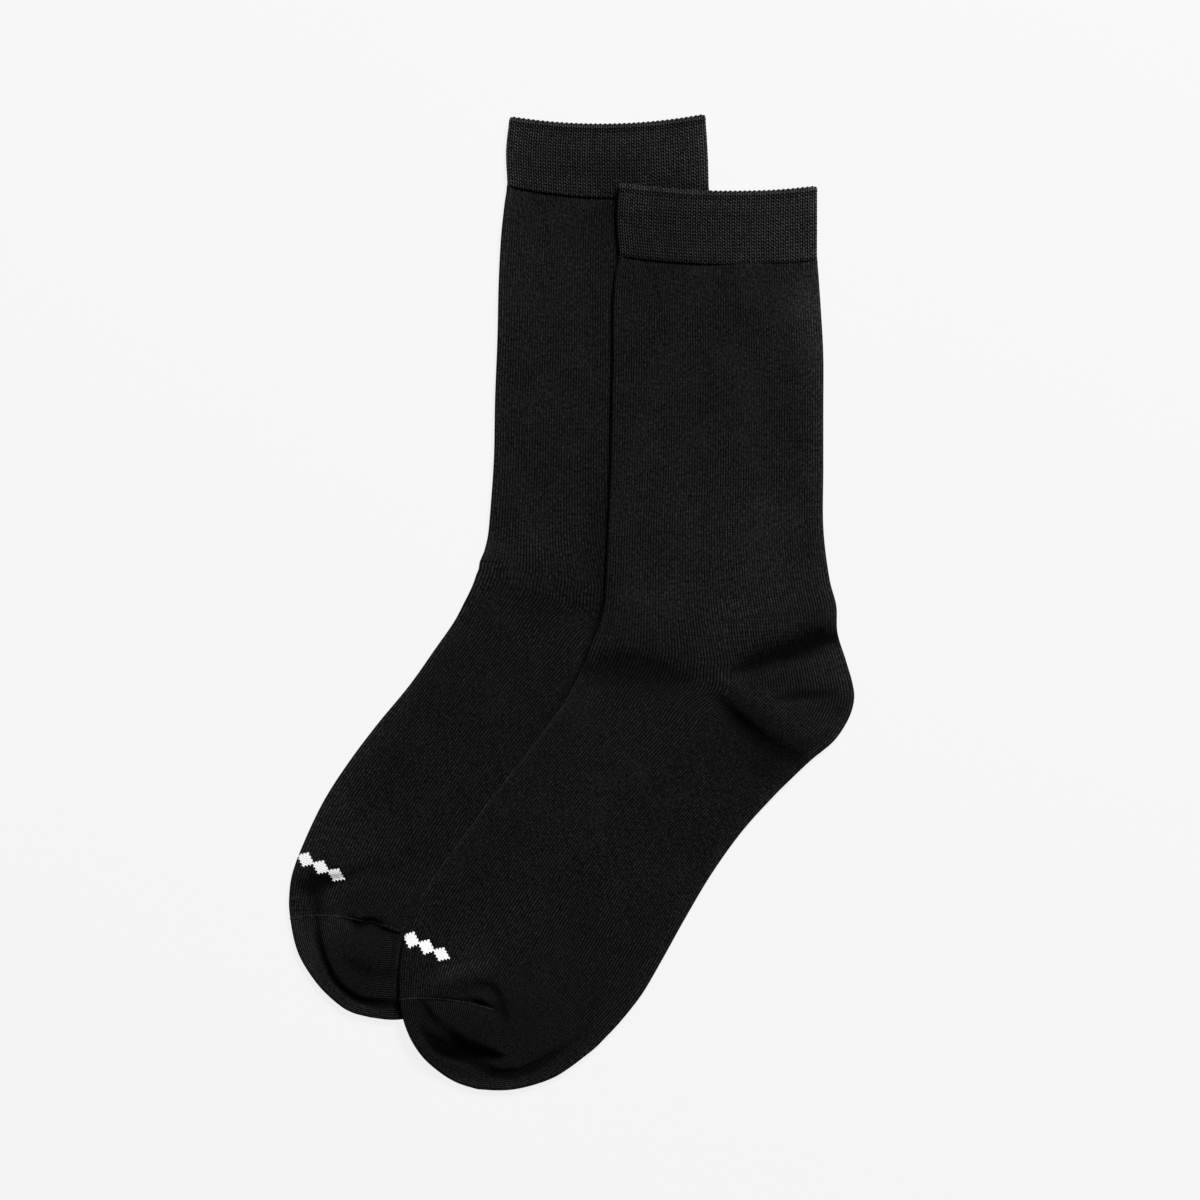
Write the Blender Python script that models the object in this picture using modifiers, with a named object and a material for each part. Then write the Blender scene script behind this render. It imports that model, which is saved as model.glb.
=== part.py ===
"""A pair of plain black fine-knit crew socks, laid flat on their sides, one lying on the other.

Each sock is a flattened tube that is open at its mouth. It is made as three knitted pieces:
  cuff   the turned double band at the mouth, with fine upright ribs on the face that shows
  body   the leg, the short-row heel pocket and the foot
  toe    the short-row toe pocket, closed to the foot by a linked seam
The upper sock rests partly on the lower one and partly on the ground.
Tables are in millimetres. In each sock's own frame x runs across, towards the heel side, y runs
up the leg, and the origin is the middle of the mouth.
"""

import math
from collections import namedtuple

import bmesh
import bpy
import numpy as np

# ---------------------------------------------------------------- driving sizes, in millimetres
MM = 0.001
BODY_WALL = 1.0
CUFF_WALL = 1.25
FLAT_BODY = 2.6  # leg and foot pressed flat, both walls and the slack between them
FLAT_CUFF = 3.1
FOLD_RADIUS = 1.3  # where the tube turns over at its two side edges
SEAM_GAP = 0.4  # in plan, so that slanting edges keep about 0.3
REST_GAP = 0.4  # under the upper sock, over the lower one
RIBS = 42  # upright ribs on the face of one cuff
RIB_RISE = 0.35
CREASE_DIP = 0.35  # how far a crease dips into flat cloth
ROLL_RISE = 0.45  # the soft roll just below the mouth
ROLL_DROP = 2.0  # how far the roll's crest lies below the mouth
ROLL_WIDTH = 1.6
STEP_START = 8.0  # the upper sock starts down to the ground this far outside the lower one,
STEP_DOWN = 22.0  # and comes down over this length,
STEP_ROUNDING = 6.0  # with no bend in it sharper than this
TURN_STEP = 18.0  # an edge turns by about this much between rings at most, in degrees
FOLD_STEPS = 2  # cells in each quarter turn of a side fold
FOLD_REACH = 4.0  # a fold's round section grows to the flat tube's over this distance
SLACK_REACH = 9.0  # mounds and creases fade in over this distance from a fold
CUFF_CLIMB = 8.0  # the upper sock climbs from the lower leg onto its cuff over this length
CREASE_FADE = 0.15  # share of a crease's length over which it fades out, at each end
INNER_RADIUS = 0.15  # the least radius of a cuff's inner face at a fold

# ---------------------------------------------------------------- sections
# A row is one ring of the tube, seen from above: its point on the front edge (shin, instep), the
# point that its line bends towards, and its point on the back edge (calf, heel, sole).
Section = namedtuple("Section", "name front_x front_y bend_x bend_y back_x back_y")

UPPER_SECTIONS = [
    Section("mouth", -42.5, 3.5, 0.0, -3.0, 42.0, 2.5),
    Section("cuff_middle", -43.5, -12.5, 0.0, -18.5, 42.0, -13.0),
    Section("hem", -42.5, -27.0, 0.0, -33.0, 42.0, -28.5),
    Section("leg_1", -44.0, -35.0, 0.0, -40.5, 42.5, -36.0),
    Section("leg_2", -45.0, -49.5, 0.0, -54.0, 43.5, -50.5),
    Section("leg_3", -45.0, -69.0, 0.0, -72.0, 44.5, -69.5),
    Section("leg_4", -45.5, -92.0, 0.0, -95.0, 44.5, -92.5),
    Section("leg_5", -46.0, -117.5, 0.0, -119.5, 44.5, -117.5),
    Section("leg_6", -47.0, -143.0, -0.5, -144.5, 44.5, -142.5),
    Section("leg_7", -48.0, -164.5, 0.0, -168.5, 47.0, -163.5),
    Section("ankle", -49.0, -176.5, 1.5, -185.5, 50.0, -175.5),
    Section("heel_crease", -51.0, -185.5, 10.0, -211.0, 50.5, -187.0),
    Section("heel_top", -52.0, -188.0, 8.5, -214.5, 54.0, -198.5),
    Section("heel_upper", -53.0, -190.5, 7.5, -216.5, 57.0, -209.0),
    Section("heel_tip", -54.0, -193.0, 7.0, -217.0, 57.5, -216.0),
    Section("heel_lower", -55.0, -195.5, 6.5, -217.0, 55.0, -224.0),
    Section("heel_bottom", -56.0, -198.5, 5.0, -217.0, 49.0, -233.0),
    Section("heel_under", -57.5, -202.0, 2.5, -217.0, 39.5, -241.0),
    Section("sole_crease", -60.0, -207.0, -1.0, -219.0, 31.5, -248.5),
    Section("foot_1", -64.5, -215.5, -7.5, -227.5, 22.0, -258.0),
    Section("foot_2", -72.0, -226.0, -24.5, -244.5, 9.5, -272.0),
    Section("foot_3", -83.5, -241.0, -41.5, -263.0, -3.0, -289.5),
    Section("foot_4", -96.5, -257.5, -55.0, -282.0, -14.0, -308.0),
    Section("foot_5", -109.0, -274.5, -67.0, -300.5, -24.0, -326.0),
    Section("foot_6", -119.5, -289.0, -75.5, -315.5, -32.5, -340.5),
    Section("foot_7", -128.0, -302.5, -83.5, -329.5, -41.5, -352.0),
    Section("foot_8", -133.5, -316.0, -89.0, -337.0, -48.5, -359.5),
    Section("vamp", -135.5, -329.5, -94.0, -338.0, -52.5, -363.5),
    Section("toe_seam", -135.5, -342.5, -97.5, -338.0, -57.5, -367.5),
    Section("toe_1", -134.0, -351.0, -98.0, -346.5, -63.5, -372.0),
    Section("toe_2", -130.5, -360.0, -98.5, -358.5, -70.0, -376.0),
    Section("toe_3", -125.0, -368.0, -100.5, -369.5, -78.0, -379.0),
    Section("toe_4", -117.5, -374.5, -101.5, -376.5, -86.5, -381.0),
    Section("toe_5", -110.5, -378.5, -102.5, -380.0, -94.0, -381.5),
    Section("tip", -102.5, -381.0, -102.5, -381.0, -102.5, -381.0),
]

LOWER_SECTIONS = [
    Section("mouth", -41.5, 2.0, 0.0, -5.0, 42.0, 3.0),
    Section("cuff_middle", -43.0, -12.5, 0.0, -19.0, 43.0, -12.5),
    Section("hem", -42.5, -27.0, 0.0, -36.5, 43.5, -28.5),
    Section("leg_1", -43.5, -35.0, 0.0, -41.5, 43.5, -36.0),
    Section("leg_2", -45.0, -49.5, 0.0, -55.0, 43.5, -50.5),
    Section("leg_3", -46.0, -69.0, 0.0, -72.0, 44.0, -69.5),
    Section("leg_4", -46.5, -92.0, 0.0, -95.0, 44.5, -92.5),
    Section("leg_5", -47.5, -117.5, 0.0, -119.5, 44.5, -117.5),
    Section("leg_6", -48.0, -143.0, -0.5, -144.5, 44.5, -142.5),
    Section("leg_7", -49.5, -165.0, 0.0, -168.5, 47.0, -163.5),
    Section("ankle", -50.5, -175.5, 1.5, -185.5, 50.0, -175.5),
    Section("heel_crease", -52.0, -182.0, 10.0, -210.5, 50.5, -187.0),
    Section("heel_top", -53.0, -184.5, 8.5, -214.0, 54.0, -198.5),
    Section("heel_upper", -54.0, -187.0, 7.5, -216.0, 57.0, -209.0),
    Section("heel_tip", -54.5, -190.0, 7.0, -217.0, 57.5, -216.0),
    Section("heel_lower", -55.5, -192.5, 6.5, -217.0, 55.0, -224.0),
    Section("heel_bottom", -56.5, -195.5, 5.0, -217.0, 49.0, -233.0),
    Section("heel_under", -58.0, -199.0, 2.5, -217.0, 39.5, -241.0),
    Section("sole_crease", -60.5, -204.0, -1.0, -219.0, 31.5, -248.5),
    Section("foot_1", -65.0, -212.5, -7.5, -227.5, 22.0, -258.0),
    Section("foot_2", -73.0, -224.0, -24.5, -244.5, 9.5, -272.0),
    Section("foot_3", -84.0, -239.5, -41.5, -263.0, -3.0, -289.5),
    Section("foot_4", -98.0, -256.5, -55.0, -282.0, -14.0, -308.0),
    Section("foot_5", -110.0, -272.5, -67.0, -300.5, -24.0, -326.0),
    Section("foot_6", -120.0, -288.0, -75.5, -315.5, -32.5, -340.5),
    Section("foot_7", -128.0, -304.5, -82.5, -329.5, -41.0, -352.0),
    Section("foot_8", -133.5, -319.0, -88.0, -338.5, -47.0, -359.0),
    Section("vamp", -135.0, -330.0, -92.5, -337.0, -51.0, -363.0),
    Section("toe_seam", -134.5, -338.5, -98.0, -330.5, -56.0, -367.0),
    Section("toe_1", -132.5, -349.0, -98.0, -343.5, -63.0, -372.5),
    Section("toe_2", -129.0, -357.5, -97.0, -356.0, -69.5, -375.5),
    Section("toe_3", -122.0, -367.5, -98.0, -369.5, -77.5, -379.0),
    Section("toe_4", -114.0, -375.0, -99.5, -377.0, -85.0, -381.0),
    Section("toe_5", -108.0, -378.5, -98.5, -379.5, -92.0, -381.5),
    Section("tip", -100.5, -380.5, -100.5, -380.5, -100.5, -380.5),
]

# A mound is a place where the cloth stands up a little from the flat tube.
Mound = namedtuple("Mound", "name x y reach_along reach_across turn_degrees rise")

UPPER_MOUNDS = [
    Mound("heel_pocket", 34.0, -210.0, 30.0, 18.0, -8.0, 2.6),
    Mound("ankle", 22.0, -178.0, 34.0, 14.0, 5.0, 1.7),
    Mound("sole", 2.0, -244.0, 30.0, 17.0, 50.0, 1.8),
    Mound("instep", -56.0, -250.0, 52.0, 28.0, 54.0, 1.0),
    Mound("vamp", -86.0, -326.0, 28.0, 15.0, 25.0, 1.8),
    Mound("toe_pocket", -97.0, -357.0, 26.0, 17.0, 8.0, 2.7),
]

LOWER_MOUNDS = [
    Mound("ankle", -30.0, -170.0, 24.0, 14.0, 5.0, 0.8),
    Mound("instep", -76.0, -250.0, 52.0, 20.0, 54.0, 0.7),
    Mound("vamp", -106.0, -318.0, 20.0, 11.0, 10.0, 1.5),
    Mound("toe_pocket", -110.0, -353.0, 18.0, 17.0, 0.0, 2.3),
]

# A crease is a soft trough along a short line, which fades out towards both of its ends. It takes
# away a share of the height of the mounds that it crosses, and dips a little into the flat cloth.
Crease = namedtuple("Crease", "name points half_width share")

UPPER_CREASES = [
    Crease("above_heel", [(4, -203), (21, -199), (31, -193), (44, -188), (56, -187)], 3.8, 0.85),
    Crease("below_heel", [(-2, -208), (9, -222), (21, -232), (31, -237), (40, -242)], 4.2, 0.95),
    Crease("ankle", [(-58, -200), (-43, -199), (-20, -202), (0, -209)], 4.6, 0.7),
    Crease("toe", [(-126, -345), (-123, -357), (-113, -365), (-98, -371), (-75, -368)], 5.0, 0.7),
    Crease("toe_seam", [(-136, -343), (-122, -343), (-108, -343), (-96, -347)], 3.4, 0.8),
]

LOWER_CREASES = [
    Crease("toe", [(-124, -328), (-121, -345), (-116, -360), (-105, -370), (-88, -375)], 4.0, 0.8),
    Crease("toe_seam", [(-136, -339), (-121, -338), (-109, -338), (-98, -341)], 3.2, 0.8),
    Crease("vamp", [(-133, -322), (-119, -323), (-106, -320), (-90, -321)], 3.8, 0.7),
]

# Rings are ring_step apart at most, and fine_step on the heel and toe, whose folds show. A face is
# across cells wide. The lower sock is coarser, because the upper one hides most of it.
Sock = namedtuple("Sock", "name place sections mounds creases ring_step fine_step across")
LOWER = Sock("lower", (15.0, 204.25), LOWER_SECTIONS, LOWER_MOUNDS, LOWER_CREASES, 15.0, 9.0, 10)
UPPER = Sock("upper", (62.5, 174.25), UPPER_SECTIONS, UPPER_MOUNDS, UPPER_CREASES, 12.0, 5.5, 14)
FINE_STRETCHES = [("heel_crease", "foot_1"), ("vamp", "toe_3")]

# A cuff's rings, as shares of its height: close together over the roll on its outer face.
OUTER_SHARES = (0.0, 0.07, 0.16, 0.5, 1.0)
INNER_SHARES = (0.0, 0.5, 1.0)

# name, colour (linear), roughness, metallic
BLACK_RIB = ("black_cotton_rib", (0.013, 0.013, 0.014), 0.88, 0.0)
BLACK_JERSEY = ("black_cotton_jersey", (0.010, 0.010, 0.011), 0.92, 0.0)


# ---------------------------------------------------------------- curves and distances
def row_number(sock, name):
    return [row.name for row in sock.sections].index(name)


def section_at(sock, s):
    """The six numbers of the section at place s, on a smooth curve through the table's rows."""
    rows = np.array([row[1:] for row in sock.sections])
    padded = np.vstack([2 * rows[0] - rows[1], rows, 2 * rows[-1] - rows[-2]])
    k = min(int(s), len(rows) - 2)
    t = s - k
    before, here, after, beyond = padded[k : k + 4]
    return 0.5 * (
        2 * here
        + (after - before) * t
        + (2 * before - 5 * here + 4 * after - beyond) * t**2
        + (3 * here - before - 3 * after + beyond) * t**3
    )


def ring_line(section, steps=48):
    """Points along one ring's line, from its front edge to its back edge."""
    front, bend, back = section[0:2], section[2:4], section[4:6]
    t = np.linspace(0, 1, steps + 1)[:, None]
    return (1 - t) ** 2 * front + 2 * t * (1 - t) * bend + t**2 * back


def along(line, distances):
    """Points at the given distances along a line."""
    run = np.concatenate([[0], np.cumsum(np.linalg.norm(np.diff(line, axis=0), axis=1))])
    return np.stack([np.interp(distances, run, line[:, i]) for i in (0, 1)], axis=1)


def length_of(line):
    return np.linalg.norm(np.diff(line, axis=0), axis=1).sum()


def side_edges(sock, per_row=8):
    """The fold all round the tube, from the mouth down the front, round the toe and up the back."""
    last = len(sock.sections) - 1
    sections = [section_at(sock, s) for s in np.linspace(0, last, last * per_row + 1)]
    front = [section[0:2] for section in sections]
    back = [section[4:6] for section in reversed(sections[:-1])]
    return np.array(front + back)


def distance_to(line, points):
    """The distance from each point to the nearest place on a line."""
    start, run = line[:-1], np.diff(line, axis=0)
    away = points[:, None, :] - start[None]
    t = np.clip((away * run).sum(-1) / np.maximum((run**2).sum(-1), 1e-9), 0, 1)
    return np.linalg.norm(away - t[..., None] * run, axis=-1).min(axis=1)


def inside(loop, points):
    """Whether each point lies within a closed loop, by counting the edges that a ray crosses."""
    x, y = points[:, 0:1], points[:, 1:2]
    x0, y0 = loop[:, 0], loop[:, 1]
    x1, y1 = np.roll(x0, -1), np.roll(y0, -1)
    spans = (y0 > y) != (y1 > y)
    rise = np.where(y1 == y0, 1.0, y1 - y0)
    crosses = spans & (x < (x1 - x0) * (y - y0) / rise + x0)
    return crosses.sum(axis=1) % 2 == 1


def ease(t):
    t = np.clip(t, 0, 1)
    return t * t * (3 - 2 * t)


# ---------------------------------------------------------------- heights
def mound_rise(sock, points):
    rise = np.zeros(len(points))
    for mound in sock.mounds:
        turn = math.radians(mound.turn_degrees)
        x, y = points[:, 0] - mound.x, points[:, 1] - mound.y
        u = (x * math.cos(turn) + y * math.sin(turn)) / mound.reach_along
        v = (y * math.cos(turn) - x * math.sin(turn)) / mound.reach_across
        rise += mound.rise * np.exp(-(u**2) - v**2)
    return rise


def crease_share(sock, points):
    """How much of a mound the creases take away at each point, from 0 to nearly 1."""
    kept = np.ones(len(points))
    for crease in sock.creases:
        line = np.array(crease.points, float)
        middle = along(line, np.linspace(CREASE_FADE, 1 - CREASE_FADE, 12) * length_of(line))
        reach = distance_to(middle, points) / crease.half_width
        kept *= 1 - crease.share * np.exp(-(reach**2))
    return 1 - kept


def slack(sock, points, edge_distance):
    """How much thicker than the flat tube the sock is: mounds less creases, none at the fold."""
    share = crease_share(sock, points)
    rise = mound_rise(sock, points) * (1 - share) - CREASE_DIP * share
    return rise * ease(edge_distance / SLACK_REACH)


def cover(loop, points):
    """1 over the lower sock's plan, easing to 0 outside it."""
    beyond = np.where(inside(loop, points), 0, distance_to(np.vstack([loop, loop[:1]]), points))
    return ease(1 - (beyond - STEP_START) / STEP_DOWN)


def soft_cover(loop, points):
    """The cover's mean over a small disc round each point, because cloth bridges sharp bends."""
    total, count = cover(loop, points), 1
    for reach, spokes in ((STEP_ROUNDING / 2, 6), (STEP_ROUNDING, 10)):
        for i in range(spokes):
            turn = math.tau * i / spokes
            total = total + cover(loop, points + [reach * math.cos(turn), reach * math.sin(turn)])
            count += 1
    return total / count


def ground_under(sock, points):
    """The height of what the sock lies on: the ground, or the lower sock for the upper one."""
    if sock is LOWER:
        return np.zeros(len(points))
    seen = points + np.subtract(UPPER.place, LOWER.place)
    loop = side_edges(LOWER)
    rise = mound_rise(LOWER, seen) * ease(distance_to(loop, seen) / SLACK_REACH)
    hem_y = section_at(LOWER, row_number(LOWER, "hem"))[3]
    on_cuff = ease((seen[:, 1] - hem_y) / CUFF_CLIMB + 1)
    top = FLAT_BODY + rise * inside(loop, seen) + on_cuff * (FLAT_CUFF + RIB_RISE - FLAT_BODY)
    return (top + REST_GAP) * soft_cover(loop, seen)


# ---------------------------------------------------------------- rings
def across_face(length, radius, cells, inset=0.0):
    """Distances across one face of a ring, close together where the tube turns over."""
    turns = np.linspace(0, math.pi / 2, FOLD_STEPS + 1)[:-1]
    corner = inset + radius * (1 - np.cos(turns))
    flat = np.linspace(inset + radius, length - inset - radius, cells + 1)
    return np.concatenate([corner, flat, length - corner[::-1]])


def lifted(sock, plan, flat, is_top, is_edge):
    """Points of the outer face: plan places with the height of the tube's top or underside."""
    edges = side_edges(sock)
    reach = np.where(is_edge, 0, distance_to(edges, plan))
    turn = 1 - np.clip(reach / FOLD_RADIUS, 0, 1)
    half = FOLD_RADIUS * np.sqrt(1 - turn**2)
    extra = (flat - 2 * FOLD_RADIUS) * ease(reach / FOLD_REACH) + slack(sock, plan, reach)
    height = FOLD_RADIUS + np.where(is_top, half + extra, -half)
    return np.column_stack([plan + sock.place, height + ground_under(sock, plan)])


def seam_line(sock, s, shift):
    """A ring's line, moved along the sock by shift in plan, which is positive towards the toe."""
    line = ring_line(section_at(sock, s))
    if shift == 0:
        return line
    nudge = math.copysign(0.05, shift)
    run = ring_line(section_at(sock, s + nudge)) - line
    return line + run / np.linalg.norm(run, axis=1)[:, None] * abs(shift)


def tube_ring(sock, s, flat, shift=0):
    """One closed ring of the outer face: over the top from front to back, and back underneath."""
    line = seam_line(sock, s, shift)
    length = length_of(line)
    across = across_face(length, min(FOLD_RADIUS, length / 4), sock.across)
    top = along(line, across)
    plan = np.vstack([top, top[-2:0:-1]])
    count = len(across)
    order = np.arange(len(plan))
    return lifted(sock, plan, flat, order < count, (order == 0) | (order == count - 1))


def turn_between(sock, k, edge):
    """The angle, in degrees, that one edge turns through from row k to the next."""
    nudge = 0.02
    start = section_at(sock, k + nudge) - section_at(sock, k)
    end = section_at(sock, k + 1) - section_at(sock, k + 1 - nudge)
    a, b = (math.atan2(run[edge + 1], run[edge]) for run in (start, end))
    return abs(math.degrees(math.remainder(b - a, math.tau)))


def places(sock, first, last):
    """Places along the sock between two named sections, closer together where an edge bends."""
    result = []
    for k in range(row_number(sock, first), row_number(sock, last)):
        here, there = section_at(sock, k), section_at(sock, k + 1)
        run = max(np.linalg.norm(there[i : i + 2] - here[i : i + 2]) for i in (0, 4))
        turn = max(turn_between(sock, k, i) for i in (0, 4))
        fine = any(row_number(sock, a) <= k < row_number(sock, b) for a, b in FINE_STRETCHES)
        step = sock.fine_step if fine else sock.ring_step
        steps = max(1, round(run / step), round(turn / TURN_STEP))
        result += [k + i / steps for i in range(steps)]
    return result + [float(row_number(sock, last))]


# ---------------------------------------------------------------- meshes
def make_material(finish):
    name, colour, roughness, metallic = finish
    material = bpy.data.materials.new(name)
    material.use_nodes = True
    shader = material.node_tree.nodes["Principled BSDF"]
    shader.inputs["Base Color"].default_value = (*colour, 1)
    shader.inputs["Roughness"].default_value = roughness
    shader.inputs["Metallic"].default_value = metallic
    return material


def add_object(name, mesh, finish, collection):
    mesh.materials.append(make_material(finish))
    mesh.shade_smooth()
    thing = bpy.data.objects.new(name, mesh)
    collection.objects.link(thing)
    return thing


def add_skin(bm, rings, outwards=True):
    """Faces through rings of equal count. Returns each ring's vertices."""
    loops = [[bm.verts.new(point * MM) for point in points] for points in rings]
    for near, far in zip(loops, loops[1:]):
        for i in range(len(near)):
            j = (i + 1) % len(near)
            face = [near[i], far[i], far[j], near[j]]
            bm.faces.new(face if outwards else face[::-1])
    return loops


def tube_mesh(name, rings, tip=None):
    """An open tube through rings of equal count, closed at its far end where a tip is given."""
    bm = bmesh.new()
    last = add_skin(bm, rings)[-1]
    if tip is not None:
        pole = bm.verts.new(tip * MM)
        for i in range(len(last)):
            bm.faces.new([last[i], pole, last[(i + 1) % len(last)]])
    return finished_mesh(bm, name)


def finished_mesh(bm, name):
    mesh = bpy.data.meshes.new(name)
    bm.to_mesh(mesh)
    bm.free()
    return mesh


def add_wall(thing, thickness):
    wall = thing.modifiers.new("wall", "SOLIDIFY")
    wall.thickness = thickness * MM
    wall.offset = -1
    wall.use_even_offset = True


# ---------------------------------------------------------------- the pieces of one sock
def cuff_plan(sock, s, shift, inset, cells):
    """Plan places round one ring of a cuff, and how many of them lie on its top face."""
    line = seam_line(sock, s, shift)
    length, radius = length_of(line), max(FOLD_RADIUS - inset, INNER_RADIUS)
    top = across_face(length, radius, cells, inset)
    under = across_face(length, radius, sock.across, inset)
    return along(line, np.concatenate([top, under[-2:0:-1]])), len(top)


def outer_cuff_ring(sock, s, shift):
    """One ring of a cuff's outer face. Each rib takes two cells of the top, and its crest is the
    line between them."""
    plan, count = cuff_plan(sock, s, shift, 0, 2 * RIBS)
    order = np.arange(len(plan))
    points = lifted(sock, plan, FLAT_CUFF, order < count, (order == 0) | (order == count - 1))
    down = np.linalg.norm(section_at(sock, s)[0:2] - section_at(sock, 0)[0:2])
    roll = ROLL_RISE * math.exp(-(((down - ROLL_DROP) / ROLL_WIDTH) ** 2))
    cell = order - FOLD_STEPS
    points[:, 2] += np.where((cell >= 0) & (cell <= 2 * RIBS), roll + RIB_RISE * (cell % 2), 0)
    return points


def inner_cuff_ring(sock, s, shift):
    """One ring of a cuff's plain inner face."""
    plan, count = cuff_plan(sock, s, shift, CUFF_WALL, sock.across)
    turns = np.linspace(0, math.pi / 2, FOLD_STEPS + 1)[:-1]
    top = np.concatenate([turns, np.full(count - 2 * FOLD_STEPS, math.pi / 2), turns[::-1]])
    rise = (FLAT_CUFF / 2 - CUFF_WALL) * np.sin(np.concatenate([top, -top[-2:0:-1]]))
    return np.column_stack([plan + sock.place, FLAT_CUFF / 2 + rise + ground_under(sock, plan)])


def close_rim(bm, outer, inner, sock, at_mouth):
    """The edge of a cuff's wall. The top and the underside are closed in turn, so that the ribs of
    the outer face lie over the same stretch of the inner one."""
    a_half, b_half = 2 * (FOLD_STEPS + RIBS), 2 * FOLD_STEPS + sock.across
    top = (outer[: a_half + 1], inner[: b_half + 1])
    underside = (outer[a_half:] + outer[:1], inner[b_half:] + inner[:1])
    for a, b in (top, underside):
        i, j = 0, 0
        while i < len(a) - 1 or j < len(b) - 1:
            outer_next = (i + 1) * (len(b) - 1) <= (j + 1) * (len(a) - 1)
            if j == len(b) - 1 or (i < len(a) - 1 and outer_next):
                face = [a[i], a[i + 1], b[j]]
                i += 1
            else:
                face = [a[i], b[j + 1], b[j]]
                j += 1
            bm.faces.new(face if at_mouth else face[::-1])


def make_cuff(sock, collection):
    """The band: a ribbed outer face over a plain inner face, joined at the mouth and at the hem."""
    hem = row_number(sock, "hem")
    bm = bmesh.new()
    skins = []
    for make_ring, shares in ((outer_cuff_ring, OUTER_SHARES), (inner_cuff_ring, INNER_SHARES)):
        rings = [make_ring(sock, share * hem, 0) for share in shares[:-1]]
        rings.append(make_ring(sock, hem, -SEAM_GAP / 2))
        skins.append(add_skin(bm, rings, outwards=make_ring is outer_cuff_ring))
    outer, inner = skins
    close_rim(bm, outer[0], inner[0], sock, at_mouth=True)
    close_rim(bm, outer[-1], inner[-1], sock, at_mouth=False)
    bmesh.ops.triangulate(bm, faces=bm.faces)
    name = f"{sock.name}_cuff"
    return add_object(name, finished_mesh(bm, name), BLACK_RIB, collection)


def make_body(sock, collection):
    """Leg, heel pocket and foot, from just below the hem to just short of the toe seam."""
    stations = places(sock, "hem", "toe_seam")
    rings = [tube_ring(sock, s, FLAT_BODY) for s in stations[1:-1]]
    rings.insert(0, tube_ring(sock, stations[0], FLAT_BODY, SEAM_GAP / 2))
    rings.append(tube_ring(sock, stations[-1], FLAT_BODY, -SEAM_GAP / 2))
    name = f"{sock.name}_body"
    body = add_object(name, tube_mesh(name, rings), BLACK_JERSEY, collection)
    add_wall(body, BODY_WALL)
    return body


def make_toe(sock, collection):
    """The toe pocket, from just past its seam round to the tip, where the fold closes it."""
    stations = places(sock, "toe_seam", "tip")
    rings = [tube_ring(sock, stations[0], FLAT_BODY, SEAM_GAP / 2)]
    rings += [tube_ring(sock, s, FLAT_BODY) for s in stations[1:-1]]
    tip_place = section_at(sock, stations[-1])[None, 0:2]
    on_fold = np.array([True])
    tip = lifted(sock, tip_place, FLAT_BODY, on_fold, on_fold)[0]
    name = f"{sock.name}_toe"
    toe = add_object(name, tube_mesh(name, rings, tip), BLACK_JERSEY, collection)
    add_wall(toe, BODY_WALL)
    return toe


def clear_scene():
    for thing in list(bpy.data.objects):
        bpy.data.objects.remove(thing)


def main():
    clear_scene()
    collection = bpy.data.collections.new("pair_of_socks")
    bpy.context.scene.collection.children.link(collection)
    for sock in (LOWER, UPPER):
        make_cuff(sock, collection)
        make_body(sock, collection)
        make_toe(sock, collection)


main()
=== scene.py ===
# %% [markdown]
# # A pair of black crew socks, laid flat
# Two plain fine-knit crew socks lie on their sides on a pale floor, one partly on the other. Each
# sock is knitted in one as a narrow tube: a turned double cuff, a leg, a heel pocket, a foot and a
# toe pocket, and only the toe is closed by a seam afterwards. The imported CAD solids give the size
# and the place of every piece, so they are loaded first.

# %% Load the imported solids
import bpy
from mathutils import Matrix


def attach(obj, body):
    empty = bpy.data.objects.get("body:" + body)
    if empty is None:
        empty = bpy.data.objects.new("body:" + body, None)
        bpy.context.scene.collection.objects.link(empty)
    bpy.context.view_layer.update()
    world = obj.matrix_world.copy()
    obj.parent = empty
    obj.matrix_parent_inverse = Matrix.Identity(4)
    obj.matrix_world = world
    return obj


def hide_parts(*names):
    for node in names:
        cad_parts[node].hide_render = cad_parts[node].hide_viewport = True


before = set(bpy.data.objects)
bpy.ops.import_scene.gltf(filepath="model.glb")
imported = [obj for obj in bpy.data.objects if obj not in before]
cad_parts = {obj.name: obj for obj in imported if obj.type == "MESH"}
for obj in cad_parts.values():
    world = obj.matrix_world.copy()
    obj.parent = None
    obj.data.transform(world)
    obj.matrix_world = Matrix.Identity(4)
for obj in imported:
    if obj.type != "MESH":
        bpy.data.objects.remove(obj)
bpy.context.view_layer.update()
print("CAD nodes:", sorted(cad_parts))

# %% Modules
import math
from collections import namedtuple

import bpy
import numpy as np
from mathutils import Vector

MM = 0.001
bpy.ops.object.select_all(action="DESELECT")
print("Blender", bpy.app.version_string)

# %% [markdown]
# ## The sizes of the cloth
# A fine sock of this kind is about 0.9 mm thick in the leg. Laid flat, its two walls and the slack
# between them make 2.6 mm, and the double cuff makes 3.1 mm. A 168-needle machine knits 168 wales
# (columns of stitches) round the leg, so 84 of them lie on each face. In the cuff two wales make
# one upright rib, which gives 42 ribs on a face.

# %% Sizes, in millimetres
BODY_WALL = 0.9
CUFF_WALL = 1.25
FLAT_BODY = 2.6
FLAT_CUFF = 3.1
FOLD_RADIUS = 1.3  # where the tube turns over at its two side edges
FOLD_REACH = 4.0  # the round fold grows to the flat tube's section over this distance
SLACK_REACH = 7.0  # mounds of slack cloth fade in over this distance from a fold
REST_GAP = 0.4  # between the two socks, where one lies on the other
WALES = 84  # on one face
WALE_WIDTH = 1.06
COURSE = 0.78  # height of one row of stitches in the leg and foot
CUFF_WIDTH = 85.0
RIBS = 42  # on one face of a cuff
RIB_ROW = 1.4  # height of one row of loops in the cuff
RIB_RISE = 0.42
print("leg width:", round(WALES * WALE_WIDTH), "mm; rib width:", round(CUFF_WIDTH / RIBS, 2), "mm")

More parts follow.
